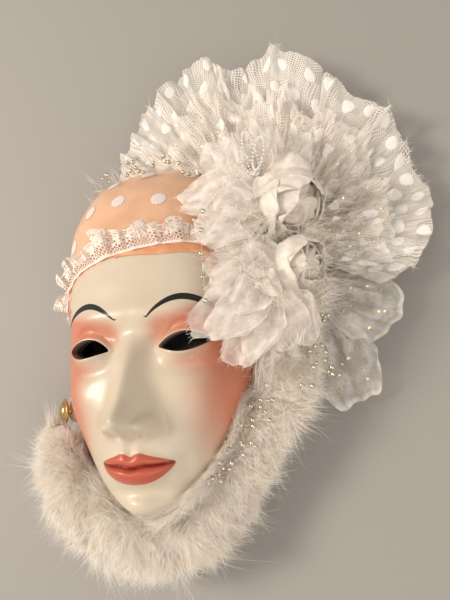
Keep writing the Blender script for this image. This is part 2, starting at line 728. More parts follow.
CAP_FLAT = (225, 95)
cap = draped_grid("satin_cap", 180, 56, cap_place, CAP_FLAT)
apply_modifier(cap, "WELD", merge_threshold=0.00005)
cap_satin, tree, shader = new_finish("peach_satin_under_net")
x, y = uv_axes(tree)
net = ranged(tree, hex_net(tree, x, y, 1.15), -0.2, -1.1)
weave = object_noise(tree, 60, 4)
PEACH_DEEP, PEACH, NET_OVER_PEACH = (0.74, 0.40, 0.225, 1), (0.84, 0.49, 0.295, 1), (0.83, 0.68, 0.58, 1)
satin = mixed(tree, ranged(tree, weave.outputs["Fac"], 0.35, 0.65), PEACH_DEEP, PEACH)
cloth = mixed(tree, calc(tree, "MULTIPLY", net, 0.33), satin, NET_OVER_PEACH)
tree.links.new(cloth, shader.inputs["Base Color"])
tree.links.new(ranged(tree, net, 0, 1, 0.5, 0.9), shader.inputs["Roughness"])
shader.inputs["Sheen Weight"].default_value = 0.25
shader.inputs["Sheen Roughness"].default_value = 0.4
bumped(tree, shader, net, 0.35, 0.0003)
declared_sheet(cap, cap_satin, "peach_cloth", CAP_FLAT, "stretched", ["ceramic_face"], "fabric_cap")

# the net's flocked dots, with scalloped edges, in staggered rows over the cap
dot, dot_shape = scalloped_dot(CAP_DOT_RADIUS)
rng = np.random.default_rng(11)
cap_dots = []
probe_u, probe_v = np.meshgrid(np.linspace(0.02, 0.98, 193), np.linspace(0.05, 0.86, 82))
probe = cap_place(probe_u, probe_v)
for j, height in enumerate(np.arange(30, 150, 23)):
    for across in np.arange(-104, 105, 26) + (13 if j % 2 else 0) + 2:
        goal = (across + rng.uniform(-2, 2), height + rng.uniform(-2, 2))
        gap = np.hypot(probe[..., 0] - goal[0], probe[..., 1] - goal[1])
        best = np.unravel_index(np.argmin(gap), gap.shape)
        if gap[best] < 1.2:
            cap_dots.append(copy_of(dot, lay_on(cap_place, probe_u[best], probe_v[best], dot_shape, 0.25)))
remove(dot)
cap_dots = join_pieces(cap_dots, "cap_net_dots")
smooth_shaded(cap_dots)


def mottled_finish(name, grain, colours, rough, bump, reach=(0.35, 0.65), **sockets):
    """A finish that varies over the piece with one noise; rough is one value or the two it lies between."""
    finish, tree, shader = new_finish(name)
    mottle = object_noise(tree, *grain).outputs["Fac"]
    tree.links.new(mixed(tree, ranged(tree, mottle, *reach), *colours), shader.inputs["Base Color"])
    if isinstance(rough, tuple):
        tree.links.new(ranged(tree, mottle, 0.3, 0.7, *rough), shader.inputs["Roughness"])
    else:
        shader.inputs["Roughness"].default_value = rough
    for socket, value in sockets.items():
        shader.inputs[socket.replace("_", " ").title()].default_value = value
    bumped(tree, shader, mottle, *bump)
    return finish, tree, shader, mottle


FLOCK_GRAIN, FLOCK_REACH, FLOCK_BUMP = (1500, 3), (0.3, 0.7), (0.6, 0.0004)
CAP_FLOCK = ((0.80, 0.66, 0.61, 1), (0.90, 0.80, 0.76, 1))
flock = mottled_finish("flocked_dots", FLOCK_GRAIN, CAP_FLOCK, 0.95, FLOCK_BUMP, FLOCK_REACH)[0]
dressed(cap_dots, flock, "white_net")

# Lace band: a narrow gathered strip of cream cotton lace glued over the cap's edge, foot to the
# hairline and scalloped edge to the crown, standing off the cloth in small ruffles.
LACE_FROM, LACE_TO, LACE_WIDTH, LACE_RUFFLES = 0.115, 0.80, 14.5, 15
LACE_FLAT = (320, 17)


def lace_place(u, v):
    t = LACE_FROM + (LACE_TO - LACE_FROM) * u
    phase = 2 * np.pi * LACE_RUFFLES * u + 2.2 * wander(u, 61, 7)
    full = 1 + 0.6 * wander(u, 62, 9)
    slide = (2.6 * np.sin(2 * phase) * full + 2.0 * wander(u, 63, 15)) * v / 300
    foot = spline(HAIRLINE, t + slide)
    ahead = direction(spline(HAIRLINE, t + slide + 1e-3) - foot)
    scallop = 0.9 + 0.2 * np.abs(np.cos(np.pi * 30 * u + wander(u, 67, 8))) + 0.24 * wander(u, 64, 6)
    curl = 1 - (0.16 + 0.1 * wander(u, 65, 8)) * v**2
    up = 0.2 + LACE_WIDTH * v * scallop * curl
    x = foot[..., 0] - ahead[..., 1] * up
    y = foot[..., 1] + ahead[..., 0] * up
    stand = 0.5 + (0.4 + 2.3 * v) * (1 + np.cos(phase)) * full + 2.6 * v**2 * (1 + 0.9 * wander(u, 66, 11))
    stand = stand + 0.6 * np.sin(2 * np.pi * 47 * u + 6 * v + 2 * wander(u, 68, 5)) * v
    return over_head(x, y, 0.5 + (cap_grow(x, y) - 0.5) * step(0, 6, up) + stand)


lace = draped_grid("cotton_lace", 760, 18, lace_place, LACE_FLAT)
cotton_lace, tree, shader = new_finish("cream_lace")
x, y = uv_axes(tree)
ground = ranged(tree, hex_net(tree, x, y, 1.9), 0.25, -0.5)
repeat = calc(tree, "SUBTRACT", calc(tree, "PINGPONG", x, 7.08), 3.54)
rise = calc(tree, "SUBTRACT", y, 9.5)
bloom = calc(tree, "ADD", calc(tree, "POWER", repeat, 2.0), calc(tree, "POWER", rise, 2.0))
bloom = calc(tree, "SQRT", bloom)
six_times = calc(tree, "MULTIPLY", calc(tree, "ARCTAN2", rise, repeat), 6.0)
petals = calc(tree, "MULTIPLY", calc(tree, "COSINE", six_times), 0.9)
motif = ranged(tree, calc(tree, "SUBTRACT", bloom, petals), 3.6, 3.0)
eye = ranged(tree, bloom, 0.7, 1.1)
motif = calc(tree, "MULTIPLY", motif, eye)
holes = calc(tree, "MULTIPLY", calc(tree, "COSINE", calc(tree, "MULTIPLY", x, 2 * math.pi / 2.6)), 0.9)
edge_row = calc(tree, "MULTIPLY", ranged(tree, y, 14.2, 14.7), ranged(tree, holes, 0.75, 0.35))
solid_edge = ranged(tree, y, 15.9, 16.2)
foot_row = ranged(tree, y, 2.0, 1.6)
thread = foot_row
for part in (ground, motif, edge_row, solid_edge):
    thread = calc(tree, "MAXIMUM", thread, part)
tree.links.new(thread, shader.inputs["Alpha"])
twist = object_noise(tree, 700, 3)
tree.links.new(
    mixed(tree, ranged(tree, twist.outputs["Fac"], 0.3, 0.7), (0.90, 0.76, 0.67, 1), (0.98, 0.90, 0.84, 1)),
    shader.inputs["Base Color"],
)
shader.inputs["Roughness"].default_value = 0.9
bumped(tree, shader, thread, 0.8, 0.0005)
declared_sheet(lace, cotton_lace, "cream_lace", LACE_FLAT, "gathered", ["satin_cap"], "lace_band")

# Satin edging: a narrow folded strip of coral satin ribbon showing below the lace over the brow and
# down the right temple, glued flat to the glaze.
EDGING_FROM, EDGING_TO = 0.37, 0.93
EDGING_FLAT = (128, 10.5)


def edging_place(u, v):
    t = EDGING_FROM + (EDGING_TO - EDGING_FROM) * u
    foot = spline(HAIRLINE, t)
    ahead = direction(spline(HAIRLINE, t + 1e-3) - foot)
    narrow = 0.25 + 0.75 * step(0, 0.22, u)
    up = 4.0 - (4.0 + 6.6 * narrow) * (1 - v)
    x = foot[..., 0] - ahead[..., 1] * up
    y = foot[..., 1] + ahead[..., 0] * up
    fold = 1.2 * np.sin(np.pi * np.clip(v / 0.55, 0, 1)) ** 0.7 + 0.25 * np.sin(40 * u) * v * (1 - v)
    return over_head(x, y, 0.35 + fold)


edging = draped_grid("coral_edging", 160, 10, edging_place, EDGING_FLAT)
CORAL_SATIN = ((0.72, 0.30, 0.14, 1), (0.82, 0.40, 0.21, 1))
coral_satin = mottled_finish("coral_satin", (90, 4), CORAL_SATIN, 0.42, (0.2, 0.0004), sheen_weight=0.2)[0]
declared_sheet(edging, coral_satin, "coral_satin", EDGING_FLAT, "laid", ["ceramic_face"], "satin_edging")

# Long fan: a deep strip of stiff white net with flocked dots, gathered along one edge beside the right
# temple and stitched in two layers, the front one in two pieces, and standing round the head in soft
# uneven pleats.
GATHER = (84.0, 66.0)
# direction in degrees, reach of the net's outer edge from the gather; it folds over near 102 degrees
NET_REACH = np.array(
    [
        [-30, 74],
        [-22, 86],
        [-9, 98],
        [11, 104],
        [24, 106],
        [36, 111],
        [44, 117],
        [58, 119],
        [72, 134],
        [82, 145],
        [95, 142],
        [100, 143],
        [104, 161],
        [112, 159],
        [129, 151],
        [149, 133],
        [155, 124],
    ],
    float,
)


def rumple(u, v, seed, folds):
    """Soft creases over a cloth, about -1 to 1, so many to its width."""
    draw = np.random.default_rng(seed)
    total = 0.0
    for k in range(6):
        turn, wave = draw.uniform(0, np.pi), folds * draw.uniform(0.6, 1.5)
        swell = np.sin(2 * np.pi * wave * (u * np.cos(turn) + 0.3 * v * np.sin(turn)) + draw.uniform(0, 6.28))
        total = total + (swell if k % 2 else 1 - 2 * np.abs(swell))
    return total / 2.6


def gathered_net(first, last, pleats, inner, reach, base, rise, swing, seed, ragged=0.02, crumple=1.0):
    def place(u, v):
        phase = 2 * np.pi * pleats * u + 2.6 * wander(u, seed, 4)
        size = np.clip(1 + 0.8 * wander(u, seed + 1, 5), 0.12, 2.0)
        spread = np.radians(last - first) / pleats / (2 * np.pi)
        turn = np.radians(first + (last - first) * u) - spread * 0.34 * np.sin(2 * phase) * v * size
        turn = turn + 0.014 * wander(u + 0.3 * v, seed + 6, 11) * v
        outer = through(NET_REACH, np.degrees(turn), 1) * reach
        outer = outer * (1 + ragged * wander(u, seed + 2, 6) + 0.5 * ragged * wander(u, seed + 7, 21))
        radius = inner + (outer - inner) * v
        fold = (swing[0] + (swing[1] - swing[0]) * v) * size * np.cos(phase)
        flutter = 1.7 * v**4 * np.sin(2 * phase + 3 * wander(u, seed + 3, 9))
        height = base + rise * v + fold + flutter + 2.5 * wander(u + 0.15 * v, seed + 4, 3) * v
        height = height + crumple * rumple(u, v, seed + 5, 11) * np.sin(np.pi * np.clip(v, 0, 0.85))
        return np.stack([GATHER[0] + radius * np.cos(turn), GATHER[1] + radius * np.sin(turn), height], -1)

    return place


def net_finish(name, cell, light, dark, film=0.0, sparkle=0.0, fades_at=None):
    finish, tree, shader = new_finish(name)
    x, y = uv_axes(tree)
    # the meshes are pulled out of line by the gathers
    spot = {"X": calc(tree, "MULTIPLY", x, 0.06), "Y": calc(tree, "MULTIPLY", y, 0.06)}
    spot = node(tree, "ShaderNodeCombineXYZ", spot).outputs["Vector"]
    drift = node(tree, "ShaderNodeTexNoise", {"Vector": spot, "Scale": 1.0, "Detail": 1.0}).outputs["Color"]
    drift = node(tree, "ShaderNodeSeparateXYZ", {"Vector": drift})
    drawn_x = calc(tree, "ADD", x, calc(tree, "MULTIPLY", drift.outputs["X"], 6.0))
    drawn_y = calc(tree, "ADD", y, calc(tree, "MULTIPLY", drift.outputs["Y"], 6.0))
    thread = ranged(tree, hex_net(tree, drawn_x, drawn_y, cell), -0.35, -0.85)
    worn = object_noise(tree, 35, 3)
    # fine creases run out from the gather, where the net lies double
    squeezed = {"X": calc(tree, "MULTIPLY", x, 0.55), "Y": calc(tree, "MULTIPLY", y, 0.045)}
    stretched = node(tree, "ShaderNodeCombineXYZ", squeezed).outputs["Vector"]
    fine = {"Vector": stretched, "Scale": 1.0, "Detail": 4.0, "Roughness": 0.6}
    creased = ranged(tree, node(tree, "ShaderNodeTexNoise", fine).outputs["Fac"], 0.36, 0.66)
    tone = calc(tree, "MULTIPLY", ranged(tree, worn.outputs["Fac"], 0.35, 0.65), 0.5)
    colour = mixed(tree, calc(tree, "ADD", tone, calc(tree, "MULTIPLY", creased, 0.5)), dark, light)
    doubled = calc(tree, "MULTIPLY", calc(tree, "ADD", calc(tree, "MULTIPLY", creased, 1.5), 0.35), film)
    if fades_at:
        doubled = calc(tree, "MULTIPLY", doubled, ranged(tree, y, fades_at, fades_at * 0.6))
    alpha = calc(tree, "MAXIMUM", thread, doubled)
    if sparkle:
        flecks = node(tree, "ShaderNodeTexCoord").outputs["Object"]
        flecks = node(tree, "ShaderNodeTexVoronoi", {"Vector": flecks, "Scale": 620.0})
        chosen = node(tree, "ShaderNodeSeparateXYZ", {"Vector": flecks.outputs["Color"]}).outputs["X"]
        chosen = ranged(tree, chosen, 1 - sparkle, 1.001 - sparkle)
        fleck = calc(tree, "MULTIPLY", ranged(tree, flecks.outputs["Distance"], 0.42, 0.3), chosen)
        colour = mixed(tree, fleck, colour, (0.92, 0.82, 0.60, 1))
        alpha = calc(tree, "MAXIMUM", alpha, fleck)
        tree.links.new(fleck, shader.inputs["Metallic"])
        tree.links.new(ranged(tree, fleck, 0, 1, 0.9, 0.25), shader.inputs["Roughness"])
    else:
        shader.inputs["Roughness"].default_value = 0.85
    tree.links.new(colour, shader.inputs["Base Color"])
    tree.links.new(alpha, shader.inputs["Alpha"])
    bumped(tree, shader, worn.outputs["Fac"], 0.2, 0.0005)
    return finish


white_net = net_finish("white_hex_net", 1.08, (0.97, 0.93, 0.87, 1), (0.87, 0.81, 0.73, 1), film=0.26)
long_nets = {}
for name, flat, place in (
    ("long_net_front", (262, 92), gathered_net(100, -29, 7, 16, 0.975, 18, 7, (2.4, 3.0), 3)),
    ("long_net_left", (134, 124), gathered_net(153, 101, 3, 16, 0.965, 21, 6, (2.2, 2.6), 5)),
    ("long_net_back", (296, 96), gathered_net(150, -26, 9, 16, 0.93, 11, 5, (1.6, 2.6), 8)),
):
    long_nets[name] = (place, flat)
    net = draped_grid(name, int(flat[0] * 2.8), 44, place, flat)
    declared_sheet(net, white_net, "white_net", flat, "gathered", ["satin_cap"], "dotted_net_fan")

# Short ruffles: softer glitter net gathered over the long fan, with a layer of plain tulle between
# them for body. Champagne sequins and beads are scattered over the glitter net and stitched down.
GLITTER_FLAT = (262, 72)
glitter_place = gathered_net(134, -26, 10, 13, 0.70, 26, 9, (1.1, 1.9), 21, 0.09, 3.6)
glitter_net = draped_grid("glitter_ruffle", 820, 34, glitter_place, GLITTER_FLAT)
PALE_CHAMPAGNE, DEEP_CHAMPAGNE = (0.97, 0.92, 0.85, 1), (0.88, 0.80, 0.71, 1)
champagne_net = net_finish(
    "champagne_glitter_net", 1.1, PALE_CHAMPAGNE, DEEP_CHAMPAGNE, film=0.34, sparkle=0.07, fades_at=88
)
UNDER_RUFFLES, RUFFLE_NODE = ["long_net_front"], "glitter_net_ruffle"
declared_sheet(
    glitter_net, champagne_net, "glitter_net", GLITTER_FLAT, "gathered", UNDER_RUFFLES, RUFFLE_NODE
)
soft_tulle = net_finish(
    "soft_tulle", 1.0, (0.98, 0.94, 0.88, 1), (0.90, 0.84, 0.76, 1), film=0.32, sparkle=0.02, fades_at=92
)
tulles = []
for name, flat, place in (
    ("tulle_ruffle", (290, 74), gathered_net(146, -27, 13, 14, 0.76, 22, 8, (1.0, 1.7), 33, 0.1, 3.2)),
    ("tulle_underlay", (286, 72), gathered_net(149, -24, 11, 14, 0.69, 16, 8, (1.4, 2.4), 52, 0.12, 2.6)),
):
    tulle = draped_grid(name, 820, 30, place, flat)
    declared_sheet(tulle, soft_tulle, "white_net", flat, "gathered", UNDER_RUFFLES, RUFFLE_NODE)
    tulles.append((place, flat))

# flocked dots on the long nets and, farther apart, on the tulle
NET_DOT_RADIUS, NET_DOT_PITCH = 4.5, 15.5
dot, dot_shape = scalloped_dot(NET_DOT_RADIUS)
rng = np.random.default_rng(5)
net_dots = []
for k, (place, flat) in enumerate(long_nets.values()):
    for j in range(5):
        deep = flat[1] - 7 - 14.5 * j
        pitch = NET_DOT_PITCH * (1.0 if j < 3 else 1.35)
        for across in np.arange(9 + (pitch / 2 if j % 2 else 0) + 4 * k, flat[0] - 6, pitch):
            u = (across + rng.uniform(-1.5, 1.5)) / flat[0]
            v = (deep + rng.uniform(-1.5, 1.5)) / flat[1]
            net_dots.append(copy_of(dot, lay_on(place, u, v, dot_shape, 0.15)))
for place, flat in tulles:
    for across in np.arange(12, flat[0] - 8, 19.0):
        for deep in (flat[1] - 9, flat[1] - 27):
            u = (across + deep / 3 + rng.uniform(-4, 4)) / flat[0]
            v = (deep + rng.uniform(-4, 4)) / flat[1]
            net_dots.append(copy_of(dot, lay_on(place, min(u, 0.97), v, dot_shape, 0.3)))
# dots that show through the glitter net
for across in np.arange(10, GLITTER_FLAT[0] - 8, 19.0):
    for deep, lift in ((GLITTER_FLAT[1] - 12, 0.15), (GLITTER_FLAT[1] - 31, 0.05)):
        u = (across + deep / 2 + rng.uniform(-5, 5)) / GLITTER_FLAT[0]
        v = (deep + rng.uniform(-5, 5)) / GLITTER_FLAT[1]
        net_dots.append(copy_of(dot, lay_on(glitter_place, min(u, 0.97), v, dot_shape, lift)))
remove(dot)
net_dots = join_pieces(net_dots, "fan_net_dots")
smooth_shaded(net_dots)
NET_FLOCK = ((0.90, 0.88, 0.84, 1), (0.97, 0.96, 0.94, 1))
white_flock = mottled_finish("white_flock", FLOCK_GRAIN, NET_FLOCK, 0.95, FLOCK_BUMP, FLOCK_REACH)[0]
dressed(net_dots, white_flock, "white_net")

SEQUINS = 620
sequin, sequin_shape = new_primitive(bpy.ops.mesh.primitive_cylinder_add, vertices=8, radius=1, depth=0.25)
rng = np.random.default_rng(9)
sequins = []
for _ in range(SEQUINS):
    u, v = rng.uniform(0.02, 0.98), rng.uniform(0.2, 0.97)
    size = rng.uniform(0.3, 0.75)
    tilt = rng.uniform(-0.5, 0.5)
    shape = sequin_shape * (size, size, 1.0)
    shape = np.stack([shape[:, 0], shape[:, 1], shape[:, 2] + shape[:, 0] * tilt + 0.6], -1)
    sequins.append(copy_of(sequin, stitch_on(glitter_place, u, v, shape)))
remove(sequin)
sequins = join_pieces(sequins, "champagne_sequins")
CHAMPAGNE = ((0.84, 0.72, 0.50, 1), (0.95, 0.90, 0.78, 1))
champagne = mottled_finish(
    "champagne_metal", (300, 2), CHAMPAGNE, (0.16, 0.34), (0.1, 0.0002), metallic=0.7
)[0]
dressed(sequins, champagne, "silver_bead")


def ribbon_strips(name, lines, widths, facing):
    """Thin tapering strips: lines is (count, points, 3) in mm, widths (points,), facing (count, 3)."""
    count, points = lines.shape[:2]
    ahead = np.gradient(lines, axis=1)
    side = np.cross(ahead, facing[:, None, :])
    side = side / np.maximum(np.linalg.norm(side, axis=-1, keepdims=True), 1e-6)
    edges = np.stack([lines - side * widths[:, None] / 2, lines + side * widths[:, None] / 2], 2)
    strip, unit = new_grid(name, 1, points - 1)
    order = np.lexsort((unit[:, 0], unit[:, 1]))
    place_in_strip = np.empty(len(unit), int)
    place_in_strip[order] = np.arange(len(unit))
    shaped = edges.reshape(count, points * 2, 3)[:, place_in_strip]
    doubling = 1
    while doubling < count:
        doubling *= 2
    stack, step_count = strip, 1
    while step_count < doubling:
        twin = stack.copy()
        twin.data = stack.data.copy()
        bpy.context.scene.collection.objects.link(twin)
        stack = join_pieces([stack, twin], name)
        step_count *= 2
    if doubling > count:
        extra = (doubling - count) * len(unit)
        clear_selection()
        flags = np.zeros(len(stack.data.vertices), bool)
        flags[-extra:] = True
        stack.data.vertices.foreach_set("select", flags)
        stack.data.edges.foreach_set("select", np.zeros(len(stack.data.edges), bool))
        stack.data.polygons.foreach_set("select", np.zeros(len(stack.data.polygons), bool))
        bpy.context.view_layer.objects.active = stack
        bpy.context.tool_settings.mesh_select_mode = (True, False, False)
        bpy.ops.object.mode_set(mode="EDIT")
        bpy.ops.mesh.delete(type="VERT")
        bpy.ops.object.mode_set(mode="OBJECT")
    set_places(stack, shaped.reshape(-1, 3))
    return stack


# metallic threads worked loose from the glitter net, lying in curls all over it
THREADS = 1500
UP = np.array([0, 0, 1.0])
rng = np.random.default_rng(26)
along_thread = np.linspace(0, 1, 4)
u, v = rng.uniform(0.02, 0.98, THREADS), rng.uniform(0.3, 1.0, THREADS)
spot = glitter_place(u, v)
across = direction(glitter_place(u + 1e-3, v) - spot)
outward = direction(glitter_place(u, v - 1e-3) - spot)
turn = rng.uniform(0, 2 * np.pi, THREADS)[:, None] + rng.normal(0, 1.1, THREADS)[:, None] * along_thread
length = rng.uniform(1.5, 4.5, THREADS)[:, None] * along_thread
raised = 0.5 + rng.uniform(0.3, 1.4, THREADS)[:, None] * np.sin(np.pi * along_thread)
glitter_lines = spot[:, None] + across[:, None] * (length * np.cos(turn))[..., None]
glitter_lines = glitter_lines + outward[:, None] * (length * np.sin(turn))[..., None]
glitter_lines = glitter_lines + UP * raised[..., None]
glitter_threads = ribbon_strips(
    "glitter_threads", glitter_lines, np.array([0.08, 0.16, 0.16, 0.06]), rng.normal(0, 1, (THREADS, 3))
)
PALE_METAL = ((0.90, 0.81, 0.68, 1), (0.98, 0.95, 0.90, 1))
glitter_thread = mottled_finish("glitter_thread", (500, 2), PALE_METAL, (0.2, 0.45), (0.1, 0.0002))[0]
dressed(glitter_threads, glitter_thread, "glitter_net")

# Organza loops: two folded lengths of sheer stiff organza below the nets, wired along the edge and
# dotted with gold sequins.
LOOP_FLAT = (58, 48)
GOLD_SEQUINS = 26


def organza_loop(root, tip, width, height, bulge, seed):
    root, tip = np.array(root, float), np.array(tip, float)
    along = tip[:2] - root[:2]
    across = np.array([-along[1], along[0]]) / np.linalg.norm(along)

    def place(u, v):
        full = np.sin(np.pi * np.minimum(1, v * 0.62 + 0.06)) ** 0.8
        side = (1 - 2 * u) * (width / 2) * (0.22 + 0.78 * full) * (1 + 0.1 * wander(v, seed, 2))
        shorter = v * (1 - 0.22 * (1 - 2 * u) ** 4 + 0.05 * wander(u, seed + 2, 2))
        spreading = 2.2 * np.sin(2 * np.pi * 3.5 * u + 2.2 * wander(u + 0.3 * v, seed, 3)) * (0.25 + 0.75 * v)
        spreading = spreading + 3.4 * rumple(u, v, seed + 4, 2.6) * np.sin(np.pi * np.clip(v, 0.1, 0.8))
        curl = 5.0 * v**3 * (1 - 2 * u) ** 2
        z = root[2] + (tip[2] - root[2]) * v + bulge * np.sin(np.pi * v) * (1 - (1 - 2 * u) ** 2)
        z = z + height * np.sin(2 * np.pi * u) + spreading * 0.55 + curl
        x = root[0] + along[0] * shorter + across[0] * side
        y = root[1] + along[1] * shorter + across[1] * side
        return np.stack([x, y, np.maximum(z, 1.2)], -1)

    return place


SHEER_WHITE, CREASE_BUMP = ((0.86, 0.81, 0.75, 1), (0.96, 0.93, 0.88, 1)), (0.25, 0.0008)
organza, tree, shader, crease = mottled_finish(
    "sheer_organza", (110, 4), SHEER_WHITE, 0.5, CREASE_BUMP, sheen_weight=0.35
)
x, y = uv_axes(tree)
hem = calc(tree, "MAXIMUM", ranged(tree, x, 0.055, 0.03), ranged(tree, x, 0.945, 0.97))
hem = calc(tree, "MAXIMUM", hem, ranged(tree, y, 0.93, 0.97))
veil = ranged(tree, crease, 0.35, 0.7, 0.34, 0.62)
veil = calc(tree, "ADD", veil, calc(tree, "MULTIPLY", hem, 0.3))
tree.links.new(veil, shader.inputs["Alpha"])
loops = []
for label, root, tip, width, height, bulge, seed in (
    ("upper", (110, 34, 17), (157, 9, 13), 44, 1.0, 5.0, 2),
    ("lower", (111, 16, 10), (128, -43, 9), 44, 0.8, 3.0, 6),
):
    name = "organza_loop_" + label
    place = organza_loop(root, tip, width, height, bulge, seed)
    loop = draped_grid(name + "_cloth", 110, 60, place, (1, 1))
    declared_sheet(loop, organza, "white_organza", LOOP_FLAT, "folded", ["long_net_back"], name)
    loops.append(place)

sequin, sequin_shape = new_primitive(bpy.ops.mesh.primitive_cylinder_add, vertices=6, radius=1, depth=0.3)
gold_sequins = []
for place in loops:
    for _ in range(GOLD_SEQUINS):
        shape = sequin_shape * (rng.uniform(0.6, 1.5), rng.uniform(0.6, 1.1), 1.0)
        spot = (rng.uniform(0.1, 0.9), rng.uniform(0.25, 0.93))
        gold_sequins.append(copy_of(sequin, stitch_on(place, *spot, shape, 0.3)))
remove(sequin)
gold_sequins = join_pieces(gold_sequins, "gold_sequins")
OLD_GOLD = ((0.80, 0.62, 0.32, 1), (0.94, 0.82, 0.56, 1))
gold = mottled_finish("old_gold", (260, 3), OLD_GOLD, (0.18, 0.36), (0.15, 0.0003), metallic=0.7)[0]
dressed(gold_sequins, gold, "gold_metal")

# Organza flowers: two loose flowers of sheer organza petals, one over the crown and one over the
# temple, each petal cut round, frayed along its edge, pinched at the foot and glued in layers.
# foot, tip, width and cup of each petal; the first of each row is the broad one underneath
CROWN_PETALS = (
    ((82, 86, 59), (32, 98, 56), 40, 3),
    ((82, 84, 61), (36, 88, 60), 30, 5),
    ((80, 92, 59), (48, 130, 51), 36, 4),
    ((82, 90, 61), (60, 128, 56), 30, 6),
    ((84, 92, 59), (76, 140, 53), 26, 6),
    ((86, 96, 53), (90, 140, 50), 24, 6),
    ((80, 78, 59), (44, 66, 69), 34, 3),
    ((82, 76, 62), (52, 58, 73), 28, 6),
    ((84, 82, 63), (58, 78, 74), 26, 6),
    ((86, 88, 62), (70, 108, 69), 24, -6),
    ((92, 96, 50), (114, 128, 46), 28, 4),
    ((86, 70, 62), (62, 92, 72), 26, -6),
)
TEMPLE_PETALS = (
    ((84, 38, 60), (50, 44, 71), 30, 3),
    ((84, 34, 62), (52, 30, 76), 28, 6),
    ((82, 28, 60), (42, 6, 76), 36, 3),
    ((84, 26, 63), (52, 2, 78), 28, 6),
    ((84, 24, 60), (60, -14, 66), 34, 4),
    ((86, 22, 62), (72, -12, 68), 28, 6),
    ((88, 24, 61), (86, -8, 62), 40, -7),
    ((90, 24, 61), (106, -4, 55), 30, 6),
    ((86, 30, 63), (66, 16, 76), 24, 7),
    ((90, 34, 60), (78, 58, 70), 26, -6),
    ((92, 52, 62), (76, 36, 72), 28, -6),
)
FRAY_LENGTH, FRAY_THREADS, CLUSTER_THREADS = 2.6, 26, 34
SNIPPETS = 6
FRAY_CLUSTERS = {"left": (0.52,), "front": (0.12, 0.42, 0.56, 0.63, 0.9)}


def petal_surface(root, tip, width, cup, seed):
    root, tip = np.array(root, float), np.array(tip, float)
    along = tip - root
    across = np.array([along[1], -along[0], 0.0])
    across = across / np.linalg.norm(across)

    def place(u, v):
        w = 2 * u - 1
        half = (width / 2) * np.maximum(0.16, np.sin(np.pi * (0.05 + 0.66 * v)) ** 0.7)
        edge = 1.04 - 0.42 * np.abs(w) ** 2.3 + 0.04 * wander(u, seed, 2) + 0.012 * wander(u, seed + 9, 14)
        reach = v * edge
        hollow = cup * w**2 * v + 0.75 * abs(cup) * np.sin(np.pi * v)
        folds = (0.5 + 2.2 * v**1.5) * np.sin(np.pi * 2.3 * w + 3 * wander(v, seed + 1, 0.6) + seed)
        folds = folds + 0.45 * np.sin(9 * w + 7 * v + seed) * np.sin(11 * v + 5 * w + 2 * seed) * (0.3 + v)
        folds = folds + 0.5 * np.sin(np.pi * 7.5 * w + 2 * v) * (1 - v) ** 0.7
        curl = -4.5 * np.clip((v - 0.72) / 0.28, 0, 1) ** 2 * wander(u, seed + 2, 1.4)
        return (
            root
            + along * reach[..., None]
            + across * (w * half * (1 + 0.06 * wander(v, seed + 3, 2)))[..., None]
            + UP * (hollow + (folds * 0.8 + curl))[..., None]
        )

    return place


PETAL_WHITE = ((0.92, 0.84, 0.77, 1), (0.98, 0.93, 0.88, 1))
petal_organza, tree, shader, crease = mottled_finish(
    "petal_organza", (130, 4), PETAL_WHITE, 0.55, CREASE_BUMP, sheen_weight=0.4
)
x, y = uv_axes(tree)
selvage = calc(tree, "MAXIMUM", ranged(tree, x, 0.04, 0.0), ranged(tree, x, 0.96, 1.0))
selvage = calc(tree, "MAXIMUM", selvage, ranged(tree, y, 0.96, 1.0))
foot = ranged(tree, y, 0.45, 0.0, 0.0, 0.35)
veil = ranged(tree, crease, 0.35, 0.7, 0.44, 0.68)
veil = calc(tree, "ADD", veil, calc(tree, "MULTIPLY", selvage, 0.16))
veil = calc(tree, "MINIMUM", calc(tree, "ADD", veil, foot), 1.0)
tree.links.new(veil, shader.inputs["Alpha"])
FRAYED_WHITE = ((0.90, 0.85, 0.79, 1), (0.98, 0.95, 0.91, 1))
fray_finish = mottled_finish("frayed_threads", (400, 2), FRAYED_WHITE, 0.6, (0.2, 0.0002))[0]

rng = np.random.default_rng(17)
fray_lines = []
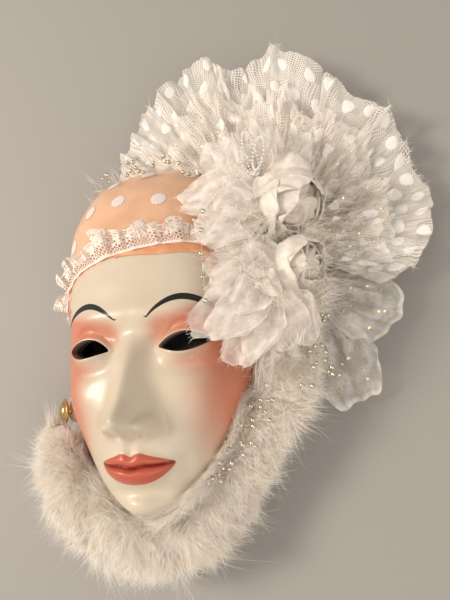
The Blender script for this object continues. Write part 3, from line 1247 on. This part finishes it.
# loose threads along the edge of the long net, in a few clusters
for name, at in [(name, at) for name, places in FRAY_CLUSTERS.items() for at in places]:
    edge_place = long_nets["long_net_" + name][0]
    for _ in range(CLUSTER_THREADS):
        u = at + rng.normal(0, 0.014)
        spot = edge_place(np.array([u, u]), np.array([0.93, 1.0]))
        outward = (spot[1] - spot[0]) / np.linalg.norm(spot[1] - spot[0])
        aim = outward * 0.6 + rng.normal(0, 0.8, 3)
        bend = rng.normal(0, 1.0, 3)
        run = np.linspace(0, 1, 4)[:, None] * rng.uniform(1.2, 3.6)
        fray_lines.append(spot[1] + aim * run * 0.7 + bend * run**2 / 4)
for label, petals in (("crown", CROWN_PETALS), ("temple", TEMPLE_PETALS)):
    flower = []
    cut_area = 0.0
    curls = []
    for _ in range(SNIPPETS):
        turn, length = rng.uniform(0, 2 * math.pi), rng.uniform(15, 29)
        root = np.array(petals[0][0]) + (rng.normal(0, 5), rng.normal(0, 6), rng.uniform(1, 5))
        tip = root + (length * math.cos(turn), length * math.sin(turn), rng.uniform(4, 15))
        curls.append((root, tip, rng.uniform(10, 17), rng.uniform(3, 8)))
    for k, (root, tip, width, cup) in enumerate([*petals, *curls]):
        place = petal_surface(root, tip, width, cup, 40 + 7 * k + (0 if label == "crown" else 100))
        flower.append(draped_grid("petal", 30, 26, place, (1, 1)))
        cut_area += width * math.dist(root, tip) * 0.8
        for _ in range(FRAY_THREADS):
            u = rng.uniform(0, 1)
            spot = place(np.array([u, u, u + 0.01]), np.array([0.99, 1.0, 1.0]))
            out = spot[1] - spot[0]
            out = out / np.linalg.norm(out) + rng.normal(0, 0.35, 3)
            length = FRAY_LENGTH * rng.uniform(0.5, 1.4)
            bend = rng.normal(0, 0.6, 3)
            along_line = np.linspace(0, 1, 4)[:, None]
            fray_lines.append(spot[1] + out * length * along_line + bend * along_line**2)
    name = "organza_flower_" + label
    flower = join_pieces(flower, name + "_petals")
    side = math.sqrt(cut_area)
    declared_sheet(flower, petal_organza, "white_organza", (side, side), "gathered", ["satin_cap"], name)
FRAY_WIDTHS = np.array([0.22, 0.2, 0.16, 0.05])
facing = rng.normal(0, 1, (len(fray_lines), 3))
fray = ribbon_strips("petal_fray", np.array(fray_lines), FRAY_WIDTHS, facing)
dressed(fray, fray_finish, "white_organza")

# Ribbon roses: two loose roses folded from wide white satin ribbon, a gathered heart inside rounded
# petals with rolled edges, sewn to the net and glued side by side. The upper one opens down and outward
# and has a broad petal behind it, and a folded leaf of the same satin shows below the lower one.
# middle, the way it opens, size and seed; then for each petal its size, its middle and half width in
# turns, and its edge at the foot and at the mouth in radians from the axis
ROSES = {
    "upper": (
        ((102.5, 79, 60), (0.58, -0.62, 0.52), 18.5, 3),
        (
            (1.00, 0.77, 0.29, 2.5, 0.80),
            (1.02, 0.00, 0.24, 2.5, 0.68),
            (1.00, 0.55, 0.24, 2.5, 0.70),
            (0.84, 0.70, 0.27, 2.3, 0.58),
            (1.12, 0.39, 0.19, 2.6, 0.84),
            (1.07, 0.16, 0.19, 2.6, 0.64),
            (0.96, 0.30, 0.24, 2.6, 0.38),
        ),
    ),
    "lower": (
        ((103.5, 42, 58), (0.82, -0.2, 0.54), 15.5, 14),
        (
            (1.00, 0.75, 0.29, 2.5, 0.78),
            (1.02, 0.97, 0.24, 2.5, 0.66),
            (1.00, 0.53, 0.24, 2.5, 0.62),
            (0.80, 0.82, 0.28, 2.3, 0.50),
            (1.13, 0.36, 0.20, 2.6, 0.92),
            (1.06, 0.17, 0.19, 2.6, 0.70),
            (0.93, 0.29, 0.24, 2.4, 0.46),
            (0.70, 0.55, 0.28, 2.2, 0.34),
        ),
    ),
}


def rose_axes(opens):
    axis = np.array(opens) / np.linalg.norm(opens)
    side = np.cross((0, 0, 1), axis)
    side = side / np.linalg.norm(side)
    return axis, side, np.cross(axis, side)


def rose_petal(middle, opens, size, turn, span, low, high, seed):
    axis, side, other = rose_axes(opens)

    def place(u, v):
        w = 2 * u - 1
        rounded = np.sqrt(1 - 0.8 * np.clip((v - 0.4) / 0.6, 0, 1) ** 3)
        a = 2 * np.pi * (turn + w * span * rounded)
        mouth = high + 0.45 * np.abs(w) ** 3 + 0.08 * wander(u, seed, 1.4)
        rolled = step(0.8, 1.0, v)
        from_axis = low + (mouth - low) * v + 0.12 * rolled
        out = size * (1 + 0.04 * w + 0.05 * wander(u + 0.4 * v, seed + 1, 1.2) * v + 0.045 * rolled)
        out = out + (0.7 * np.sin(4 * a + 3 * v + seed) + 0.35 * np.sin(11 * w + 5 * v + seed)) * v
        ring = side * np.cos(a)[..., None] + other * np.sin(a)[..., None]
        along = axis * (0.92 * np.cos(from_axis))[..., None]
        return np.array(middle) + (along + ring * np.sin(from_axis)[..., None]) * out[..., None]

    return place


def dome_petal(root, tip, width, rise, seed):
    """A round puffed petal, its end turned down."""
    root, tip = np.array(root, float), np.array(tip, float)
    along = tip - root
    across = np.array([along[1], -along[0], 0.0]) / np.hypot(along[0], along[1])

    def place(u, v):
        w = 2 * u - 1
        end = np.sqrt(np.clip(1 - np.clip((v - 0.5) / 0.5, 0, 1) ** 2, 0.02, 1))
        half = width / 2 * end * (0.45 + 0.55 * np.sin(np.pi * np.clip(v + 0.05, 0, 0.5)))
        puffed = rise * np.sqrt(np.clip(1 - 0.8 * w**2, 0, 1)) * (0.35 + 0.65 * end) * (0.6 + 0.4 * v)
        folds = 0.9 * np.sin(3.4 * w + 2.5 * v + seed) * v + 0.35 * np.sin(9 * w + 3 * v + seed)
        lean = across * (w * half)[..., None] + UP * (puffed + folds * end)[..., None]
        return root + along * v[..., None] + lean

    return place


def rose_heart(middle, opens, size, seed):
    axis, side, other = rose_axes(opens)

    def place(u, v):
        a = 2 * np.pi * u
        from_axis = 1.7 * v
        twist = a + 2.4 * v + 0.5 * np.sin(a + seed)
        gathers = 0.13 * (1 - 1.6 * np.abs(np.sin(3.5 * twist + seed))) + 0.05 * np.sin(11 * twist + 2 * seed)
        out = size * (0.7 + gathers * np.sin(np.pi * np.clip(v * 1.1, 0, 1)) + 0.05 * np.sin(a + seed))
        ring = side * np.cos(a)[..., None] + other * np.sin(a)[..., None]
        sunk = np.cos(from_axis) * 0.9 - 0.22 * np.exp(-((v / 0.22) ** 2))
        along = axis * sunk[..., None] + ring * np.sin(from_axis)[..., None]
        return np.array(middle) + along * out[..., None]

    return place


ROSE_WHITE = ((0.74, 0.67, 0.58, 1), (0.88, 0.82, 0.75, 1))
rose_satin = mottled_finish(
    "white_ribbon_satin", (160, 4), ROSE_WHITE, 0.4, (0.2, 0.0006), sheen_weight=0.3
)[0]
# the ribbon is 32 mm wide, and a rose takes a length of 16 times its size
RIBBON_WIDTH, RIBBON_PER_SIZE, SATIN_THICK = 32, 16, 0.0004
BROAD_PETAL = ((94, 74, 65), (105.5, 109, 62), 31, 7.5, 4)
for label, ((middle, opens, size, seed), petals) in ROSES.items():
    rose = [draped_grid("heart", 120, 22, rose_heart(middle, opens, size, seed), (1, 1))]
    for k, (share, turn, span, low, high) in enumerate(petals):
        surface = rose_petal(middle, opens, size * share, turn, span, low, high, seed + 5 * k)
        rose.append(draped_grid("petal", 36, 26, surface, (1, 1)))
    if label == "upper":
        rose.append(draped_grid("petal", 40, 30, dome_petal(*BROAD_PETAL), (1, 1)))
    name = "ribbon_rose_" + label
    rose = join_pieces(rose, name + "_satin")
    apply_modifier(rose, "SOLIDIFY", thickness=SATIN_THICK, offset=0)
    ribbon = (RIBBON_PER_SIZE * size, RIBBON_WIDTH)
    declared_sheet(rose, rose_satin, "white_satin", ribbon, "folded", ["long_net_front"], name)


def leaf_place(u, v):
    w = 2 * u - 1
    half = 5.2 * np.sin(np.pi * np.clip(0.12 + 0.88 * v, 0, 1)) ** 0.7
    start, end = np.array([86.0, 23.0, 64.0]), np.array([104.5, 15.0, 60.0])
    along = end - start
    across = np.array([-along[1], along[0], 0]) / np.hypot(along[0], along[1])
    crease = 3.2 * (1 - np.abs(w)) * np.sin(np.pi * (0.15 + 0.8 * v)) + 1.5 * np.sin(np.pi * v)
    return start + along * v[..., None] + across * (w * half)[..., None] + UP * crease[..., None]


leaf = draped_grid("satin_leaf_fold", 24, 30, leaf_place, (1, 1))
apply_modifier(leaf, "SOLIDIFY", thickness=SATIN_THICK, offset=0)
declared_sheet(leaf, rose_satin, "white_satin", (26, 10), "folded", ["ribbon_rose_lower_satin"])

# Feather boa: white marabou twisted on a cord, a dense lumpy body of down with long fine wisps,
# glued round the jaw from the left ear to the right temple.
# x, y, z and radius of the dense body
BOA = np.array(
    [
        [-80, -46, 26, 12],
        [-78, -64, 26, 18],
        [-65, -90, 27, 21],
        [-40, -112, 27, 21.5],
        [-10, -122, 27, 21],
        [20, -113, 27, 19.5],
        [45, -88, 27, 18],
        [63, -61, 27, 17],
        [79, -36, 26, 17],
        [92, -12, 25, 16],
        [98, 8, 24, 11],
    ],
    float,
)
CORE_SHARE = 0.78
BOA_PIECES, LOCKS_PER_PIECE, BARBS_PER_LOCK = 4, 640, 40


def tube_frame(t):
    centre = spline(BOA, t)
    ahead = spline(BOA[:, :3], np.clip(t + 1e-3, 0, 1)) - spline(BOA[:, :3], np.clip(t - 1e-3, 0, 1))
    out = direction(np.stack([ahead[..., 1], -ahead[..., 0], np.zeros_like(t)], -1))
    return centre[..., :3], centre[..., 3], out, direction(ahead)


def outside_glaze(points, clear):
    """Lifts points clear of the ceramic and of the table."""
    turn = np.arctan2(points[..., 1], points[..., 0])
    share = np.hypot(points[..., 0], points[..., 1]) / (rim_radius(turn) + clear)
    relief = face_relief(points[..., 0], points[..., 1]) * (1 - step(0.86, 1.0, share))
    skin = (DEPTH + clear) * dome(share, turn) + relief
    lifted = np.where(share < 1, np.maximum(points[..., 2], skin + clear * 0.4), points[..., 2])
    return np.concatenate([points[..., :2], np.maximum(lifted, 0.6)[..., None]], -1)


# shares of the way from the face's middle to its rim
FREE_FROM, YIELD = 0.93, 0.09


def off_the_face(points):
    """Draws points that would lie far over the glaze back towards its edge."""
    turn = np.arctan2(points[..., 1], points[..., 0])
    share = np.hypot(points[..., 0], points[..., 1]) / rim_radius(turn)
    over = np.clip(FREE_FROM - share, 0, 1)
    drawn_to = FREE_FROM - YIELD * (1 - np.exp(-over / YIELD))
    nearer = np.where(over > 0, drawn_to / np.maximum(share, 1e-3), 1.0)
    return points * np.stack([nearer, nearer, np.ones_like(nearer)], -1)


def core_place(u, v):
    centre, radius, out, ahead = tube_frame(v)
    around = 2 * np.pi * u
    ends = np.sqrt(np.clip(1 - np.abs(2 * v - 1) ** 14, 0, 1))
    lump = 1 + 0.05 * np.sin(37 * v + 2 * np.cos(around)) + 0.04 * np.sin(3 * around + 23 * v)
    radius = radius * CORE_SHARE * lump * ends
    place = centre + out * (radius * np.cos(around))[..., None]
    place[..., 2] = place[..., 2] + radius * np.sin(around)
    return outside_glaze(place, 1.5)


boa_core = draped_grid("boa_down_core", 64, 200, core_place, (1, 1))
apply_modifier(boa_core, "WELD", merge_threshold=0.00002)
smooth_shaded(boa_core)
down, tree, shader = new_finish("white_down")
tufts = object_noise(tree, 260, 5, 0.7)
soft = object_noise(tree, 60, 3)
tone = calc(tree, "MULTIPLY", tufts.outputs["Fac"], calc(tree, "ADD", soft.outputs["Fac"], 0.5))
tree.links.new(
    mixed(tree, ranged(tree, tone, 0.3, 0.7), (0.88, 0.79, 0.69, 1), (0.95, 0.89, 0.81, 1)),
    shader.inputs["Base Color"],
)
shader.inputs["Roughness"].default_value = 1.0
shader.inputs["Sheen Weight"].default_value = 0.5
bumped(tree, shader, tufts.outputs["Fac"], 0.9, 0.002)
dressed(boa_core, down, "white_feather", "feather_boa")

MARABOU = ((0.96, 0.88, 0.77, 1), (0.99, 0.95, 0.88, 1))
barb_finish = mottled_finish(
    "marabou_barbs", (90, 3), MARABOU, 0.8, (0.1, 0.0002), sheen_weight=0.8, sheen_roughness=0.6
)[0]


def lock_barbs(root, heading, bow, length, spread, barbs, rng):
    """Soft barbs of many locks: root, heading and bow are (locks, 3), length and spread (locks,)."""
    locks = len(root)
    scatter = rng.normal(0, 1, (locks, barbs, 3)) * spread[:, None, None]
    stray = np.where(rng.uniform(0, 1, (locks, barbs, 1)) < 0.4, 0.34, 0.12)
    aim = direction(heading[:, None] + rng.normal(0, 1, (locks, barbs, 3)) * stray)
    reach = length[:, None] * rng.uniform(0.4, 1.1, (locks, barbs))
    curl = (bow[:, None] + rng.normal(0, 0.2, (locks, barbs, 3))) * reach[..., None]
    along = np.array([0.0, 0.38, 0.72, 1.0])[None, None, :, None]
    lines = (root[:, None] + scatter)[:, :, None] - scatter[:, :, None] * 0.5 * along
    lines = lines + aim[:, :, None] * reach[..., None, None] * along + curl[:, :, None] * along**2
    return lines.reshape(locks * barbs, 4, 3)


BARB_WIDTHS = np.array([0.19, 0.16, 0.11, 0.03])
WISP_LIMIT = np.array([-119.0, -162.0])


def drawn_in(lines):
    """Shortens barbs about their foot where they would stray too far below or left of the boa."""
    foot, tip = lines[:, 0, :2], lines[:, :, :2].min(axis=1)
    room = np.clip((foot - WISP_LIMIT) / np.maximum(foot - tip, 1e-3), 0.05, 1).min(axis=1)
    return lines[:, :1] + (lines - lines[:, :1]) * room[:, None, None]


EARRING_PLACE = np.array([-72.5, -36.4, 30.0])
EARRING_CLEAR, WISP_SHARE = 15, 0.08
for piece in range(BOA_PIECES):
    rng = np.random.default_rng(70 + piece)
    drawn = LOCKS_PER_PIECE * 2
    t = rng.uniform(0.0, 1.0, drawn)
    t = np.where(rng.uniform(0, 1, drawn) < 0.1, np.round(t), t)
    around = rng.uniform(-1.1, math.pi * 1.02, drawn)
    centre, radius, out, ahead = tube_frame(t)
    radial = out * np.cos(around)[:, None] + UP * np.sin(around)[:, None]
    combed = out * np.sin(around)[:, None] - UP * np.cos(around)[:, None]
    root = core_place(around / (2 * np.pi), t) - radial * 0.8
    inner = step(0.2, 0.8, -np.cos(around))[:, None]
    from_earring = np.linalg.norm((root - EARRING_PLACE) * (1, 1, 0.4), axis=-1)
    clear = np.flatnonzero(from_earring > EARRING_CLEAR)[:LOCKS_PER_PIECE]
    ends = np.where(t < 0.02, -1.0, 0.0) + np.where(t > 0.98, 1.0, 0.0)
    sweep = 0.9 * ends + 0.3 * np.sin(40 * t) + rng.normal(0, 0.22, drawn)
    heading = radial * 0.42 + combed * 0.8 + ahead * sweep[:, None] - np.array([0, 0.25, 0])
    heading = heading * (1 - inner) + (UP * 0.7 - out * 0.25 + ahead * sweep[:, None]) * inner
    loose = 0.12 + 0.24 * step(0.0, 0.7, np.cos(around))
    heading = direction(heading + rng.normal(0, 1, (drawn, 3)) * loose[:, None])
    wisp = rng.uniform(0, 1, drawn) < WISP_SHARE
    uneven = 1 + 0.4 * np.sin(61 * t + 2.2 * around) * np.sin(37 * t + 1.3)
    length = (radius * rng.uniform(0.34, 0.62, drawn) * np.where(wisp, 1.7, 1.0) + 2.5) * uneven
    bow = ahead * rng.normal(0, 0.34, (drawn, 1)) + out * 0.08 - UP * rng.uniform(0.0, 0.3, (drawn, 1))
    spread = np.where(wisp, 0.9, 2.1)
    chosen = [values[clear] for values in (root, heading, bow, length, spread)]
    lines = lock_barbs(*chosen, BARBS_PER_LOCK, rng)
    lines = outside_glaze(off_the_face(drawn_in(lines)), 0.8)
    barbs = ribbon_strips("boa_barbs_" + "abcd"[piece], lines, BARB_WIDTHS, rng.normal(0, 1, (len(lines), 3)))
    dressed(barbs, barb_finish, "white_feather")

# Feather tuft: a cushion of the same down glued over the nets' gather, its wisps showing between
# the petals and the roses.
# centre and radii of each lump
TUFT = (
    ((82, 98, 44), (19, 17, 9)),
    ((92, 74, 44), (24, 20, 10)),
    ((92, 44, 44), (24, 22, 10)),
    ((90, 18, 43), (20, 14, 9)),
)
TUFT_BARBS = 34


def turned_up(turn, rise):
    """Directions turned round the upright and raised from the level, in radians."""
    return np.stack([np.cos(turn) * np.cos(rise), np.sin(turn) * np.cos(rise), np.sin(rise)], -1)


lumps = []
rng = np.random.default_rng(90)
tuft_lines = []
for centre, radii in TUFT:
    lump, unit = new_primitive(bpy.ops.mesh.primitive_uv_sphere_add, segments=40, ring_count=24, radius=1)
    rough = 1 + 0.08 * np.sin(9 * unit[:, 0] + 5 * unit[:, 1]) * np.cos(8 * unit[:, 1])
    set_places(lump, np.maximum(unit * radii * rough[:, None] + centre, (-400, -400, 33)))
    lumps.append(lump)
    locks = 100
    turn, rise = rng.uniform(0, 2 * np.pi, locks), rng.uniform(0.15, 1.2, locks)
    radial = turned_up(turn, rise)
    heading = direction(radial + rng.normal(0, 0.25, (locks, 3)))
    root = np.array(centre) + radial * np.array(radii) * 0.8
    bow = rng.normal(0, 0.25, (locks, 3))
    length = rng.uniform(14, 27, locks)
    tuft_lines.append(lock_barbs(root, heading, bow, length, np.full(locks, 1.0), TUFT_BARBS, rng))
tuft = join_pieces(lumps, "tuft_down_cushion")
smooth_shaded(tuft)
dressed(tuft, down, "white_feather", "feather_tuft")
# soft down between the petals, combed out and down from the middle of the flowers
for spot in ((80, 92, 63), (78, 70, 66), (78, 50, 67), (78, 30, 66), (84, 10, 62)):
    locks = 40
    turn, rise = rng.uniform(2.2, 5.0, locks), rng.uniform(0.0, 0.7, locks)
    heading = turned_up(turn, rise)
    root = np.array(spot) + rng.normal(0, 1, (locks, 3)) * (7, 9, 2.5)
    bow = rng.normal(0, 0.2, (locks, 3)) - UP * 0.2
    length = rng.uniform(12, 26, locks)
    tuft_lines.append(lock_barbs(root, heading, bow, length, np.full(locks, 1.5), TUFT_BARBS, rng))
# more of it hangs under the flowers' outer side, in front of the head's wall, and covers the boa's end
for centre, radii in TUFT:
    locks = 30
    turn, rise = rng.uniform(-1.2, 1.2, locks), rng.uniform(-0.7, 0.1, locks)
    radial = turned_up(turn, rise)
    root = np.maximum(np.array(centre) + radial * np.array(radii) * 0.75, (-400, -400, 35))
    heading = direction(radial * 0.6 - UP * 0.8 + rng.normal(0, 0.2, (locks, 3)))
    length = rng.uniform(8, 15, locks)
    bow = rng.normal(0, 0.3, (locks, 3))
    tuft_lines.append(lock_barbs(root, heading, bow, length, np.full(locks, 1.6), TUFT_BARBS, rng))
for spot in ((84, -18, 30), (81, -40, 31)):
    locks = 28
    turn, rise = rng.uniform(-1.7, 0.9, locks), rng.uniform(-0.2, 0.9, locks)
    heading = turned_up(turn, rise)
    root = np.array(spot) + heading * (9, 9, 12) + rng.normal(0, 1, (locks, 3)) * (2, 5, 2)
    bow = rng.normal(0, 0.3, (locks, 3)) - UP * 0.2
    length = rng.uniform(10, 19, locks)
    tuft_lines.append(lock_barbs(root, heading, bow, length, np.full(locks, 1.6), TUFT_BARBS, rng))
# a few loose wisps caught behind the cap at the fan's left end
for spot, aim in (((-28, 131, 24), 1.9), ((-40, 122, 25), 2.5)):
    locks = 7
    turn, rise = aim + rng.normal(0, 0.35, locks), rng.uniform(0.0, 0.5, locks)
    heading = turned_up(turn, rise)
    root = np.array(spot) + rng.normal(0, 1, (locks, 3)) * (5, 5, 1.5)
    bow = rng.normal(0, 0.25, (locks, 3))
    length = rng.uniform(11, 20, locks)
    tuft_lines.append(lock_barbs(root, heading, bow, length, np.full(locks, 1.6), 7, rng))
tuft_lines = outside_glaze(np.concatenate(tuft_lines), 2.0)
tuft_barbs = ribbon_strips("tuft_barbs", tuft_lines, BARB_WIDTHS, rng.normal(0, 1, (len(tuft_lines), 3)))
dressed(tuft_barbs, barb_finish, "white_feather")

# Bead strands: champagne-silver plated beads on fine thread, tacked along the crown, hanging over
# the brow from the petals, and trailing beside the flowers and down the boa. Each bead stands where its
# solid in the frame does, and a few smaller loose ones lie round them.
BEAD_RADIUS = 1.6
# a bead's solid is a tenth wider at its waist, and has four corners there
WAIST_RADIUS = 1.1 * BEAD_RADIUS
NEAR = 0.01
LOOSE_BEADS = {"crown": 10, "side": 16, "boa": 10, "temple": 0}


def strung_beads(strand):
    """Middles of the beads on a strand's solid, in mm from the eye line, from its upper end on."""
    solid = bmesh.new()
    solid.from_mesh(bpy.data.objects[strand].data)
    bmesh.ops.remove_doubles(solid, verts=solid.verts, dist=0.00001)
    solid.verts.index_update()
    corners = (np.array([tuple(corner.co) for corner in solid.verts]) - np.array(EYE_LINE)) * 1000
    linked = [[edge.other_vert(corner).index for edge in corner.link_edges] for corner in solid.verts]
    solid.free()
    # count the edges from corner to corner twice: first from anywhere, then from the end this finds
    steps = np.zeros(len(corners), int)
    for _ in range(2):
        reached = [int(np.argmax(steps))]
        steps = np.full(len(corners), -1)
        steps[reached[0]] = 0
        for corner in reached:
            for other in linked[corner]:
                if steps[other] < 0:
                    steps[other] = steps[corner] + 1
                    reached.append(other)
    # a bead's middle lies halfway between both pairs of opposite corners of its waist
    apart = np.linalg.norm(corners[:, None] - corners, axis=-1)
    first, second = np.nonzero(np.triu(np.abs(apart - 2 * WAIST_RADIUS) < NEAR))
    halfway = (corners[first] + corners[second]) / 2
    middles = {}
    for spot in halfway:
        pairs = np.flatnonzero(np.linalg.norm(halfway - spot, axis=-1) < NEAR)
        if len(pairs) == 2:
            middles[steps[[first[pairs], second[pairs]]].mean()] = spot
    strung = np.array([middles[along] for along in sorted(middles)])
    return strung if strung[0, 1] > strung[-1, 1] else strung[::-1]


bead, bead_shape = new_primitive(bpy.ops.mesh.primitive_uv_sphere_add, segments=14, ring_count=9, radius=1)
PLATED = ((0.62, 0.56, 0.45, 1), (0.80, 0.75, 0.65, 1))
bead_metal = mottled_finish(
    "champagne_silver_bead", (500, 3), PLATED, (0.14, 0.3), (0.08, 0.0002), metallic=1.0
)[0]
rng = np.random.default_rng(31)
for label, loose in LOOSE_BEADS.items():
    strand = "bead_strand_" + label
    strung = strung_beads(strand)
    spots = strung
    sizes = np.full(len(spots), BEAD_RADIUS)
    if loose:
        picked = spots[rng.integers(0, len(spots), loose)] + rng.normal(0, 3.0, (loose, 3)) * (1, 1, 0.35)
        spots = np.concatenate([spots, picked])
        sizes = np.concatenate([sizes, rng.uniform(1.0, 1.35, loose)])
    beads = [copy_of(bead, bead_shape * size + spot) for spot, size in zip(spots, sizes)]
    beads = join_pieces(beads, strand + "_beads")
    smooth_shaded(beads)
    dressed(beads, bead_metal, "silver_bead", strand)
    middles = (strung[:-1] + strung[1:]) / 2 - UP * 0.6
    threads = np.stack([strung[:-1], middles, strung[1:]], 1)
    thread = ribbon_strips(
        "bead_thread_" + label, threads, np.full(3, 0.16), np.tile([0.3, -0.2, 1.0], (len(threads), 1))
    )
    dressed(thread, fray_finish, "silver_bead")

# Bead spray: fine wire loops threaded with small clear iridescent beads, standing up over the petals.
# centre, half width, half length and turn of each loop
SPRAY_LOOPS = ((82, 108, 74, 3.6, 13, 0.15), (87, 106, 76, 3, 9.5, -0.35), (79, 103, 73, 2.6, 8, 0.5))
SPRAY_LEAN, SPRAY_DENSITY = 0.35, 2.1
spray = []
for x0, y0, z0, half, length, turn in SPRAY_LOOPS:
    number = int((half + length) * SPRAY_DENSITY)
    for k in range(number):
        a = 2 * math.pi * k / number
        across, up = half * math.cos(a), length * math.sin(a)
        lean = up * math.sin(SPRAY_LEAN)
        up = up * math.cos(SPRAY_LEAN)
        spot = (
            x0 + across * math.cos(turn) - up * math.sin(turn),
            y0 + across * math.sin(turn) + up * math.cos(turn),
            z0 + lean,
        )
        spray.append(copy_of(bead, bead_shape * rng.uniform(0.75, 1.05) + spot))
remove(bead)
spray = join_pieces(spray, "clear_bead_spray")
smooth_shaded(spray)
PALE_HUES = ((0.86, 0.78, 0.70, 1), (0.78, 0.82, 0.80, 1))
clear_bead = mottled_finish(
    "iridescent_bead", (350, 2), PALE_HUES, 0.12, (0.05, 0.0002), coat_weight=0.8, coat_roughness=0.05
)[0]
dressed(spray, clear_bead, "clear_bead", "bead_spray")

# Earring: a stamped brass dome with a rolled rim on a short post, glued to the lobe and turned out.
# radius and height of the turned outline, from the post to the middle of the dome
EARRING_OUTLINE = np.array(
    [
        [0, -3.4],
        [1.6, -3.4],
        [1.6, -0.2],
        [2.2, 0],
        [7.2, 0],
        [8.1, 0.2],
        [8.6, 0.9],
        [8.5, 1.6],
        [8.0, 2.0],
        [7.3, 1.9],
        [6.8, 1.5],
        [6.4, 1.7],
        [5.6, 3.2],
        [4.0, 4.3],
        [2.0, 4.95],
        [0, 5.1],
    ]
)
EARRING_TURN = -math.pi / 4


def earring_place(u, v):
    outline = spline(EARRING_OUTLINE, v)
    radius = np.maximum(outline[..., 0], 0)
    a = 2 * np.pi * u
    x, y, z = radius * np.cos(a), radius * np.sin(a), outline[..., 1]
    c, s = math.cos(EARRING_TURN), math.sin(EARRING_TURN)
    x, z = x * c + z * s, -x * s + z * c
    return np.stack([x, y, z], -1) + EARRING_PLACE


earring = draped_grid("brass_earring", 64, 90, earring_place, (1, 1))
apply_modifier(earring, "WELD", merge_threshold=0.00002)
smooth_shaded(earring, 40)
BRASS = ((0.72, 0.50, 0.22, 1), (0.50, 0.33, 0.14, 1))
brass = mottled_finish(
    "worn_brass", (320, 4), BRASS, (0.2, 0.38), (0.1, 0.0003), (0.35, 0.7), metallic=1.0
)[0]
dressed(earring, brass, "gold_metal", "earring")

# Table and light: a plain pale floor under the mask, a large soft light from the upper left and a
# weaker one from the right. None of it belongs to the mask.
FLOOR_SIZE, FLOOR_COLOUR = 6, (0.37, 0.355, 0.335, 1)
clear_selection()
bpy.ops.mesh.primitive_plane_add(size=FLOOR_SIZE, location=(0, 0, -0.0005))
floor = bpy.context.object
floor.name = "pale_floor"
floor_finish, tree, shader = new_finish("pale_floor")
shader.inputs["Base Color"].default_value = FLOOR_COLOUR
shader.inputs["Roughness"].default_value = 0.7
floor.data.materials.append(floor_finish)
floor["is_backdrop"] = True
ROOM_COLOUR, ROOM_STRENGTH = (1.0, 0.93, 0.85, 1), 0.54
world = bpy.data.worlds.new("studio")
world.use_nodes = True
room_light = world.node_tree.nodes["Background"]
room_light.inputs["Color"].default_value = ROOM_COLOUR
room_light.inputs["Strength"].default_value = ROOM_STRENGTH
bpy.context.scene.world = world
for label, place, size, power, colour in (
    ("key_softbox", (-0.95, 0.12, 1.0), 0.35, 13.0, (1.0, 0.90, 0.79)),
    ("fill_softbox", (0.8, -0.9, 1.0), 1.3, 7.8, (1.0, 0.91, 0.82)),
):
    light_data = bpy.data.lights.new(label, "AREA")
    light_data.size = size
    light_data.energy = power
    light_data.color = colour
    light = bpy.data.objects.new(label, light_data)
    bpy.context.scene.collection.objects.link(light)
    light.location = place
    light.rotation_euler = (Vector((0, 0, 0.03)) - Vector(place)).to_track_quat("-Z", "Y").to_euler()

bpy.context.scene.view_settings.view_transform = "Standard"

low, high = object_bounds()
